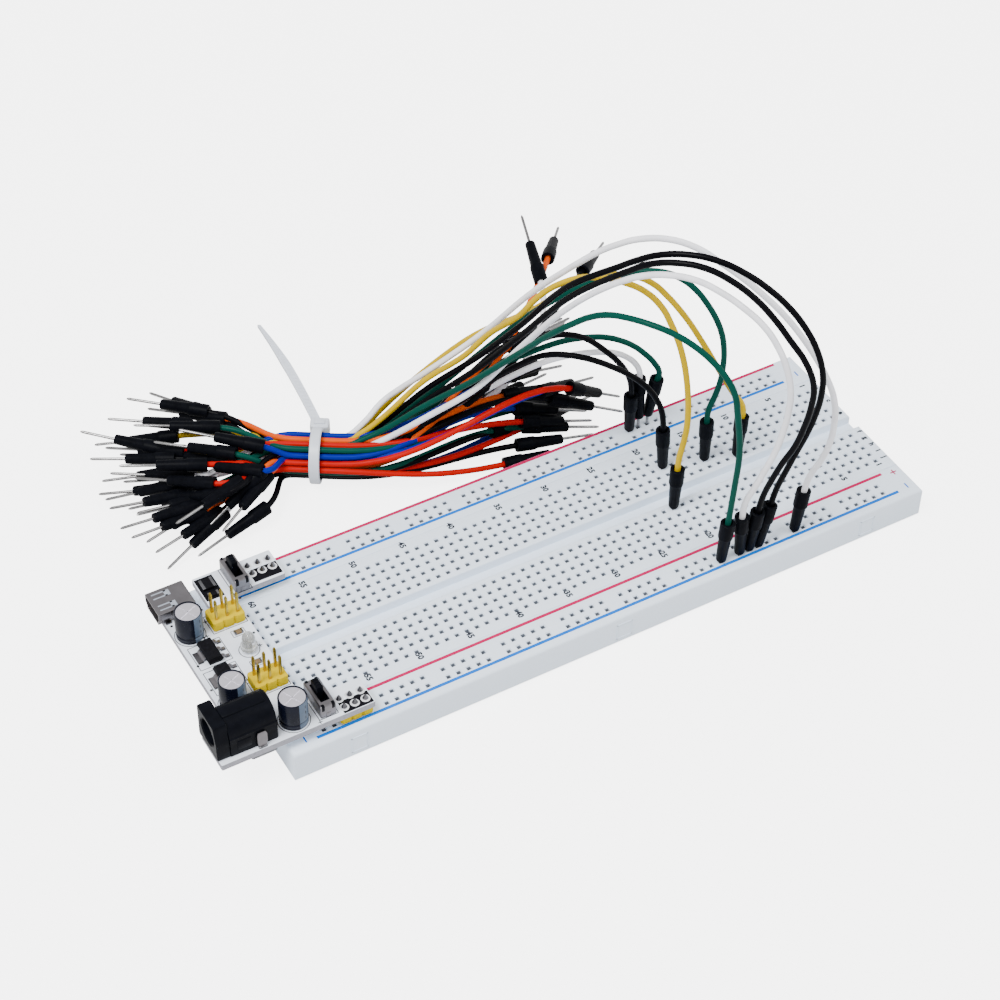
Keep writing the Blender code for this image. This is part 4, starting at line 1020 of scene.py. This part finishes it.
def board_solder():
    """Small pads and the solder joints under the circuit board."""
    bm = bmesh.new()
    joints = [(x, y) for x in HEADER_JOINTS_X for y in HEADER_JOINTS_Y]
    joints += [(SWITCH_JOINT_X, middle + step * JOINT_STEP)
               for middle in SWITCH_JOINTS_Y for step in (-1, 0, 1)]
    joints += [(x + step * JOINT_STEP, y) for x, y, _ in CAPACITORS for step in (-0.5, 0.5)]
    joints += LED_AND_JACK_JOINTS
    for x, y in joints:
        add_turned(bm, ((0.0, 1.1), (0.25, 1.05), (0.45, 0.6), (0.85, 0.12), (0.9, -0.1),
                        (0.0, -0.1)), (x, y, PCB_LOW), (0, 0, -1), 12)
    for x, y in SMALL_PADS:
        add_turned(bm, ((0.0, 0.03), (0.32, 0.03), (0.34, -0.02), (0.0, -0.02)),
                   (x, y, PCB_TOP), sides=12)
    module_piece("board_solder", bm, [SOLDER], "plated_steel")


PIN_HALF = 0.3


def rail_header(name, side):
    """Six pins for the bus strip, their yellow spacer, and a pad and solder dome on each."""
    low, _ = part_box(f"rail_header_{name}")
    bm = bmesh.new()
    add_header_base(bm, low.x / MM, low.y / MM, 8.85, 10.75)
    for x in RAIL_PINS_X:
        for y in BUS_ROWS_Y:
            place = (x, side * y)
            add_square_pin(bm, *place, 4.2, PCB_TOP + 0.6, 3.7)
            add_turned(bm, ((0.0, 1.2, 2), (0.24, 1.15, 2), (0.42, 0.75, 2), (0.68, 0.2, 2),
                            (0.74, 0.06, 3), (1.06, 0.05, 3), (1.08, -0.02, 3), (0.0, -0.02, 3)),
                       (*place, PCB_TOP), sides=20)
    module_piece(f"rail_pins_{name}", bm, [HEADER_YELLOW, GOLD, SOLDER, TINNED_PAD],
                 "yellow_plastic", f"rail_header_{name}")


def add_header_base(bm, x_low, y_low, z_low, z_high):
    """A two-row header base with a notch between its columns."""
    notch = 0.38
    width = 2 * PITCH
    lower, upper = [], []
    for column in range(3):
        left, right = x_low + column * PITCH, x_low + (column + 1) * PITCH
        lower += [(left, y_low + notch), (left + notch, y_low), (right - notch, y_low)]
        upper += [(left + notch, y_low + width), (right - notch, y_low + width),
                  (right, y_low + width - notch)]
    x_high = x_low + 3 * PITCH
    outline = [*lower, (x_high, y_low + notch), (x_high, y_low + width - notch),
               *reversed([(x_low, y_low + width - notch), *upper[:-1]])]
    middle = Vector((x_low + 1.5 * PITCH, y_low + PITCH))
    small = [middle + (Vector(point) - middle) * 0.97 for point in outline]
    add_loft(bm, [level(small, z_low), level(outline, z_low + 0.12),
                  level(outline, z_high - 0.12), level(small, z_high)])


def add_square_pin(bm, x, y, z_low, z_high, tip_z):
    """A square pin between two heights, with a blunt point at one of its ends."""
    box = (x - PIN_HALF, x + PIN_HALF, y - PIN_HALF, y + PIN_HALF)
    shaft = [inset_level(box, 0.0, 0.06, z_low), inset_level(box, 0.0, 0.06, z_high)]
    point = inset_level(box, PIN_HALF - 0.14, 0.06, tip_z)
    add_loft(bm, [point, *shaft] if tip_z < z_low else [*shaft, point], 1)


def output_header(name):
    low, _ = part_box(f"header_{name}")
    x_low, y_low = low.x / MM, low.y / MM
    bm = bmesh.new()
    add_header_base(bm, x_low, y_low, PCB_TOP + 0.05, PCB_TOP + 2.55)
    for column in range(3):
        for row in range(2):
            add_square_pin(bm, x_low + (column + 0.5) * PITCH, y_low + (row + 0.5) * PITCH,
                           PCB_TOP + 1.0, 20.7, 21.2)
    module_piece(f"output_header_{name}", bm, [HEADER_YELLOW, GOLD], "yellow_plastic",
                 f"header_{name}")


USB_Y = 20.05
USB_LOW = 12.85
USB_TOP = 16.6
# The shell's cross-sections from inside its mouth, over the rim and along the outside: x, inset.
USB_RINGS = ((-85.3, 0.32), (-93.1, 0.32), (-93.3, 0.3), (-93.3, 0.02), (-93.0, 0.0),
             (-84.6, 0.0), (-84.4, 0.15))


def usb_outline(x, inset):
    """A cross-section of the socket's shell: full width above, narrower below."""
    wide, narrow = 3.75 - inset, 3.05 - inset
    z_low, z_high = USB_LOW + inset, USB_TOP - inset
    corners = ((-narrow, z_low), (narrow, z_low), (narrow, 13.75), (wide, 14.55),
               (wide, z_high), (-wide, z_high), (-wide, 14.55), (-narrow, 13.75))
    return [(x, USB_Y + point.x, point.y) for point in rounded(corners, 0.22)]


def usb_socket():
    """The folded shell with its spring cut-outs (thin patches of painted shade) and feet, and the
    tongue with five contacts.
    """
    bm = bmesh.new()
    add_loft(bm, [usb_outline(*ring) for ring in USB_RINGS])
    for side in (-1, 1):
        y = USB_Y + side * 1.85
        # The cut-outs: thin blocks of painted shade laid on the shell where it is open.
        for x, half_x, slot_y, half_y in ((-90.6, 1.7, y - 0.675, 0.175),
                                          (-90.6, 1.7, y + 0.675, 0.175),
                                          (-88.85, 0.65, y, 0.85)):
            add_block(bm, x, slot_y, half_x, half_y, USB_TOP - 0.1, USB_TOP + 0.012, 1)
        add_ribbon(bm, ((-92.1, y, USB_TOP - 0.02), (-90.4, y, USB_TOP - 0.05),
                        (-89.3, y, USB_TOP - 0.25)), (0, 1, 0), 0.46, 0.06)
        for x in (-91.1, -85.9):
            add_block(bm, x, USB_Y + side * 3.35, 0.7, 0.45, PCB_TOP - 0.02, 13.1, 2, 0.1)
    module_piece("usb_socket_shell", bm, [SHEET_STEEL, PAINTED_SHADE, SOLDER], "plated_steel",
                 "usb_shell")
    tongue = bmesh.new()
    add_block(tongue, -89.0, USB_Y, 3.6, 1.75, 14.55, 15.25, bevel=0.12)
    for contact in range(-2, 3):
        add_block(tongue, -89.15, USB_Y + contact * 0.7, 3.15, 0.17, 14.47, 14.6, 1, 0.03)
    module_piece("usb_socket_tongue", tongue, [JACK_BLACK, GOLD], "black_plastic", "usb_tongue")


def ray_outline(outline, centre, count):
    """Points where rays at even angles from a centre leave a closed outline."""
    edges = list(zip(outline, [*outline[1:], outline[0]]))
    result = []
    for k in range(count):
        ray = Vector((cos(2 * pi * k / count), sin(2 * pi * k / count)))
        best = 0.0
        for a, b in edges:
            start, run = Vector(a[:2]) - centre, Vector(b[:2]) - Vector(a[:2])
            cross = ray.x * run.y - ray.y * run.x
            if abs(cross) > 0.000001:
                reach = (start.x * run.y - start.y * run.x) / cross
                along = (start.x * ray.y - start.y * ray.x) / cross
                if -0.001 <= along <= 1.001:
                    best = max(best, reach)
        result.append(centre + ray * best)
    return result


JACK_AXIS = Vector((-19.95, 17.9))  # y and z
JACK_SIDES = 96
BARREL_RADIUS = 4.3
BORE_RADIUS = 3.1
BORE_FLARE = 0.3                    # the bore's bevel at its mouth
BORE_END_X = -87.0
JACK_FRONT_X = -98.5
FLANGE_BACK_X = -95.4
JACK_BACK_X = -84.4
LUG_X = -88.4
# The lug's strip of metal from the body down through the board: y, z and half width.
LUG_PATH = ((-24.75, 17.1, 0.85), (-25.0, 16.6, 1.15), (-25.05, 14.4, 1.15),
            (-25.05, 12.6, 0.75), (-25.05, 10.6, 0.7))


def jack_ring(x, outline, inset=0.0):
    """The points round the jack's axis where an outline lies, drawn in by an inset."""
    points = ray_outline(outline, JACK_AXIS, JACK_SIDES)
    return [(x, *(p - (p - JACK_AXIS).normalized() * inset)) for p in points]


def jack_bore(x, radius):
    return jack_ring(x, circle(JACK_AXIS.x, JACK_AXIS.y, radius, JACK_SIDES))


def dc_jack():
    """The barrel jack: a flange, a square block with a round top, and a bore towards -X."""
    flange = rounded(((-24.4, 12.8), (-15.1, 12.8), (-15.3, 22.2), (-23.3, 22.2), (-24.3, 17.5)),
                     0.5, 4)
    barrel = [JACK_AXIS + Vector((cos(step * pi / 24), sin(step * pi / 24))) * BARREL_RADIUS
              for step in range(25)]
    block = [(-24.5, 17.9), (-24.5, 12.8), (-15.4, 12.8), (-15.4, 17.9), *barrel]
    bm = bmesh.new()
    add_loft(bm, [jack_bore(BORE_END_X, BORE_RADIUS),
                  jack_bore(JACK_FRONT_X + BORE_FLARE, BORE_RADIUS),
                  jack_bore(JACK_FRONT_X, BORE_RADIUS + BORE_FLARE),
                  jack_ring(JACK_FRONT_X, flange, 0.18), jack_ring(JACK_FRONT_X + 0.18, flange),
                  jack_ring(FLANGE_BACK_X - 0.2, flange), jack_ring(FLANGE_BACK_X, flange, 0.15),
                  jack_ring(FLANGE_BACK_X, block), jack_ring(JACK_BACK_X - 0.25, block),
                  jack_ring(JACK_BACK_X, block, 0.25)])
    add_box(bm, (-95.5, -21.4, 21.6), (-85.6, -18.5, 22.38), 0, 0.25)
    add_box(bm, (-93.8, -24.62, 14.2), (-90.6, -24.4, 16.8), 0, 0.08)
    module_piece("barrel_jack_body", bm, [JACK_BLACK], "black_plastic", "dc_jack_body", sharp=30)
    pin = bmesh.new()
    add_turned(pin, ((0.0, 10.5), (0.45, 10.4), (0.85, 9.9), (1.0, 9.3), (1.0, 0.2), (0.0, 0.2)),
               (-87.2, *JACK_AXIS), (-1, 0, 0))
    module_piece("barrel_jack_pin", pin, [STEEL], "plated_steel", "dc_jack_pin")
    lug = bmesh.new()
    add_ribbon(lug, [(LUG_X, y, z) for y, z, _ in LUG_PATH], (1, 0, 0),
               [half_width for _, _, half_width in LUG_PATH], 0.18)
    add_box(lug, (-89.4, -25.5, PCB_TOP - 0.1), (-87.4, -24.6, PCB_TOP + 0.55), 1, 0.25, 3)
    add_box(lug, (-91.2, -25.3, 9.7), (-85.0, -23.1, PCB_LOW + 0.05), 1, 0.6, 3)
    module_piece("barrel_jack_lug", lug, [SHEET_STEEL, SOLDER], "plated_steel", "dc_jack_lug")


CAN_TOP = 20.3
CAN_SEAT = 12.8
STRIPE_WAY = Vector((cos(radians(-60)), sin(radians(-60)), 0.0))
STRIPE_NARROWNESS = 0.87            # cosine of half the angle that the stripe covers


def capacitor(number, x, y, radius):
    """An electrolytic capacitor in its printed sleeve, with a scored metal top."""
    bm = bmesh.new()
    add_turned(bm, ((0.0, CAN_TOP - 0.22, 1), (radius - 0.4, CAN_TOP - 0.22, 1),
                    (radius - 0.3, CAN_TOP), (radius - 0.14, CAN_TOP), (radius, CAN_TOP - 0.25),
                    (radius, 14.7), (radius - 0.22, 14.45), (radius - 0.22, 14.2),
                    (radius, 13.95), (radius, 12.95), (radius - 0.15, CAN_SEAT),
                    (0.0, CAN_SEAT)), (x, y, 0.0), sides=48)
    for face in bm.faces:
        middle = face.calc_center_median() / MM
        outward = Vector((middle.x - x, middle.y - y, 0.0))
        if (outward.length > radius - 0.16
                and outward.normalized().dot(STRIPE_WAY) > STRIPE_NARROWNESS):
            face.material_index = 2
    middle = Vector((x, y, CAN_TOP - 0.21))
    for direction in (radians(25), radians(115)):
        run = Vector((cos(direction), sin(direction), 0.0)) * (radius - 0.75)
        add_ribbon(bm, (middle - run, middle + run), (-run.y, run.x, 0.0), 0.1, 0.05, 1)
    half_dash = Vector((-STRIPE_WAY.y, STRIPE_WAY.x, 0.0)) * 0.12
    for mark in range(3):
        dash = Vector((x, y, 15.6 + mark * 1.6)) + STRIPE_WAY * (radius + 0.01)
        add_ribbon(bm, (dash - half_dash, dash + half_dash), (0, 0, 1), 0.4, 0.01)
    module_piece(f"capacitor_can_{number}", bm, [CAN_NAVY, ALUMINIUM, CAN_STRIPE],
                 "capacitor_sleeve", f"capacitor_{number}")


def power_led():
    """The clear lens with its flange, and the two posts of the lead frame inside it."""
    bm = bmesh.new()
    add_turned(bm, ((0.0, 18.0), (0.4, 17.95), (0.8, 17.75), (1.15, 17.35), (1.38, 16.85),
                    (1.5, 16.3), (1.5, 14.5), (1.6, 14.4), (1.85, 14.4), (1.9, 14.3), (1.9, 13.6),
                    (1.8, 13.5), (0.0, 13.5)), (LED_X, LED_Y, 0.0), sides=32)
    module_piece("led_lens", bm, [LENS], "clear_lens", "power_led")
    posts = bmesh.new()
    for offset, half_width, top in ((-0.75, 0.55, 15.9), (0.75, 0.3, 16.2)):
        y = LED_Y + offset
        add_block(posts, LED_X, y, 0.2, half_width, 14.2, top, bevel=0.08)
        add_block(posts, LED_X, y, 0.22, 0.22, PCB_TOP, 14.3)
    module_piece("led_lead_frame", posts, [LEAD_FRAME], "plated_steel")


# A regulator's lead and its tab, bent down to the board: x and z.
LEAD_PATH = ((-85.5, 13.6), (-84.9, 13.6), (-84.5, 13.3), (-84.3, 12.92), (-83.6, 12.88))
TAB_PATH = ((-88.4, 13.6), (-88.9, 13.6), (-89.2, 13.2), (-89.4, 12.92), (-90.3, 12.88))


def bent_lead(bm, path, y, half_width, pad_x, pad_half_x, pad_half_y):
    """A flat lead that follows a path, and the solder where it meets the board."""
    add_ribbon(bm, [(x, y, z) for x, z in path], (0, 1, 0), half_width, 0.12, 1)
    add_block(bm, pad_x, y, pad_half_x, pad_half_y, PCB_TOP, PCB_TOP + 0.12, 2, 0.05)


def regulator(name, y_low, y_high):
    """A surface-mount regulator: a drafted body, a wide tab and three bent leads."""
    bm = bmesh.new()
    body = (-88.7, -85.2, y_low, y_high)
    add_loft(bm, [inset_level(body, inset, 0.1, z)
                  for inset, z in ((0.2, 12.9), (0.0, 13.6), (0.3, 14.45))])
    middle = (y_low + y_high) / 2
    for step in (-1, 0, 1):
        bent_lead(bm, LEAD_PATH, middle + step * 2.3, 0.36, -83.95, 0.55, 0.55)
    bent_lead(bm, TAB_PATH, middle, 1.55, -89.85, 0.65, 1.8)
    module_piece(f"voltage_regulator_{name}", bm, [CHIP_BLACK, SHEET_STEEL, SOLDER],
                 "black_plastic", f"regulator_{name}")


SWITCH_LOW_X, SWITCH_HIGH_X = -74.4, -70.7
SWITCH_TOP = 16.3
SWITCH_SLOT_HALF = (1.05, 2.8)
KNOB_FOOT = 14.05


def slide_switch(name, y_low, y_high):
    """A folded metal frame on a black base, and the sliding knob in its slot."""
    x, y = (SWITCH_LOW_X + SWITCH_HIGH_X) / 2, (y_low + y_high) / 2
    box = (SWITCH_LOW_X, SWITCH_HIGH_X, y_low, y_high)
    half_x, half_y = SWITCH_SLOT_HALF
    slot = rectangle(x - half_x, x + half_x, y - half_y, y + half_y, 0.15)
    bm = bmesh.new()
    add_loft(bm, [inset_level(box, 0.0, 0.3, 12.95), inset_level(box, 0.0, 0.3, SWITCH_TOP - 0.25),
                  inset_level(box, 0.2, 0.3, SWITCH_TOP), level(slot, SWITCH_TOP),
                  level(slot, 14.0)], [0, 0, 0, 1])
    add_block(bm, x, y, 1.75, (y_high - y_low) / 2 - 0.1, PCB_TOP + 0.02, 13.2, 1, 0.1)
    for end, inward in ((y_low, 1), (y_high, -1)):
        for window_x in (x - 1.2, x + 1.2):
            add_block(bm, window_x, end + inward * 0.36, 0.35, 0.39, 14.8, SWITCH_TOP + 0.02, 1,
                      0.05)
        add_block(bm, x, end + inward * 0.05, 0.55, 0.15, PCB_TOP, 14.0, 0, 0.08)
    module_piece(f"slide_switch_{name}_frame", bm, [SHEET_STEEL, JACK_BLACK], "plated_steel",
                 f"switch_{name}_frame")
    slide_knob(name)


def slide_knob(name):
    """The knob, with three ribs across its top; it rides on the slider."""
    low, high = (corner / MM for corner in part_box(f"switch_{name}_slider"))
    x, y, top = (low.x + high.x) / 2, (low.y + high.y) / 2, high.z
    box = (low.x, high.x, low.y, high.y)
    knob = bmesh.new()
    add_loft(knob, [inset_level(box, 0.0, 0.12, KNOB_FOOT), inset_level(box, 0.0, 0.12, top - 0.3),
                    level(rectangle(low.x + 0.18, high.x - 0.18, low.y + 0.25, high.y - 0.25,
                                    0.12), top)])
    for step in (-1, 0, 1):
        add_block(knob, x, y + step * 0.75, (high.x - low.x) / 2 - 0.15, 0.15, top - 0.2,
                  top + 0.1, 0, 0.08)
    piece = place_piece(f"slide_knob_{name}", mesh_from(f"slide_knob_{name}", knob), [JACK_BLACK],
                        f"switch_{name}_slider")
    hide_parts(f"switch_{name}_slider")


def chip_part(bm, x, y, half_x, half_y, height):
    """A chip resistor with a metal cap at each end."""
    add_block(bm, x, y, half_x * 0.62, half_y, PCB_TOP, PCB_TOP + height, 0, 0.05)
    for side in (-1, 1):
        add_block(bm, x + side * half_x * 0.79, y, half_x * 0.21, half_y + 0.02, PCB_TOP,
                  PCB_TOP + height + 0.03, 1, 0.06)


def chip_parts():
    """Two chip resistors by the LED, and a fuse with a resistor beside the far header."""
    for number, (x, y) in enumerate(CHIP_RESISTORS, start=1):
        bm = bmesh.new()
        chip_part(bm, x, y, 1.0, 0.6, 0.55)
        module_piece(f"chip_resistor_{number}", bm, [CERAMIC, SOLDER], "black_plastic",
                     f"resistor_{number}")
    bm = bmesh.new()
    chip_part(bm, -78.8, 22.9, 1.6, 1.5, 0.8)
    chip_part(bm, -78.8, 19.7, 1.3, 0.6, 0.5)
    module_piece("chip_fuse", bm, [CHIP_BLACK, SOLDER], "plated_steel")


# ---------------------------------------------------------------- finish

FLOOR_HALF = 3.0
FLOOR_GLOW = 0.35                   # what the floor gives to the object
FLOOR_GLOW_SEEN = 4.5               # what the camera sees of it


def add_floor():
    """A pale floor that looks brighter to the camera than the light that it gives."""
    mesh = bpy.data.meshes.new("floor")
    bm = bmesh.new()
    bmesh.ops.create_grid(bm, x_segments=1, y_segments=1, size=FLOOR_HALF)
    bm.to_mesh(mesh)
    bm.free()
    floor = bpy.data.objects.new("floor", mesh)
    link(floor)
    material = mixed_material("pale_floor", (0.5, 0.5, 0.5), 0.9, 0.005, 5, 0.0, specular=0.1)
    tree = material.node_tree
    shader = tree.nodes["Principled BSDF"]
    shader.inputs["Emission Color"].default_value = (1.0, 1.0, 1.0, 1.0)
    seen = tree.nodes.new("ShaderNodeLightPath")
    strength = tree.nodes.new("ShaderNodeMapRange")
    strength.inputs["To Min"].default_value = FLOOR_GLOW
    strength.inputs["To Max"].default_value = FLOOR_GLOW_SEEN
    tree.links.new(seen.outputs["Is Camera Ray"], strength.inputs["Value"])
    tree.links.new(strength.outputs["Result"], shader.inputs["Emission Strength"])
    mesh.materials.append(material)


def add_light(name, location, size, power):
    """A square area light that faces the middle of the board."""
    data = bpy.data.lights.new(name, "AREA")
    data.size = size
    data.energy = power
    light = bpy.data.objects.new(name, data)
    light.location = location
    light.rotation_mode = "QUATERNION"
    light.rotation_quaternion = (-Vector(location)).to_track_quat("-Z", "Y")
    link(light)


def add_lights():
    world = bpy.data.worlds.new("studio")
    world.use_nodes = True
    background = world.node_tree.nodes["Background"]
    background.inputs["Color"].default_value = (1.0, 1.0, 1.0, 1.0)
    background.inputs["Strength"].default_value = 1.0
    bpy.context.scene.world = world
    add_light("key_light", (-0.55, -0.15, 1.0), 0.5, 19.0)
    add_light("fill_light", (0.7, -0.5, 0.8), 0.8, 8.0)


add_camera()
FREE_PLUG_MESH = make_free_plug_mesh()
seated_leads()
loose_leads()
cable_tie()
terminal_strip()
bus_strip("front", -1)
bus_strip("back", 1)
printed_lines()
printed_labels()
dovetail_marks()
foam_pad()
circuit_board()
board_print()
board_solder()
for rail_name, rail_side in (("far", 1), ("near", -1)):
    rail_header(rail_name, rail_side)
    output_header(rail_name)
usb_socket()
dc_jack()
for can_number, can in enumerate(CAPACITORS, start=1):
    capacitor(can_number, *can)
power_led()
for chip in REGULATORS:
    regulator(*chip)
for switch in SWITCHES:
    slide_switch(*switch)
chip_parts()
for clip_node in CLIP_NODES:
    for material_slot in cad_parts[clip_node].material_slots:
        material_slot.material = CLIP_METAL
add_floor()
add_lights()
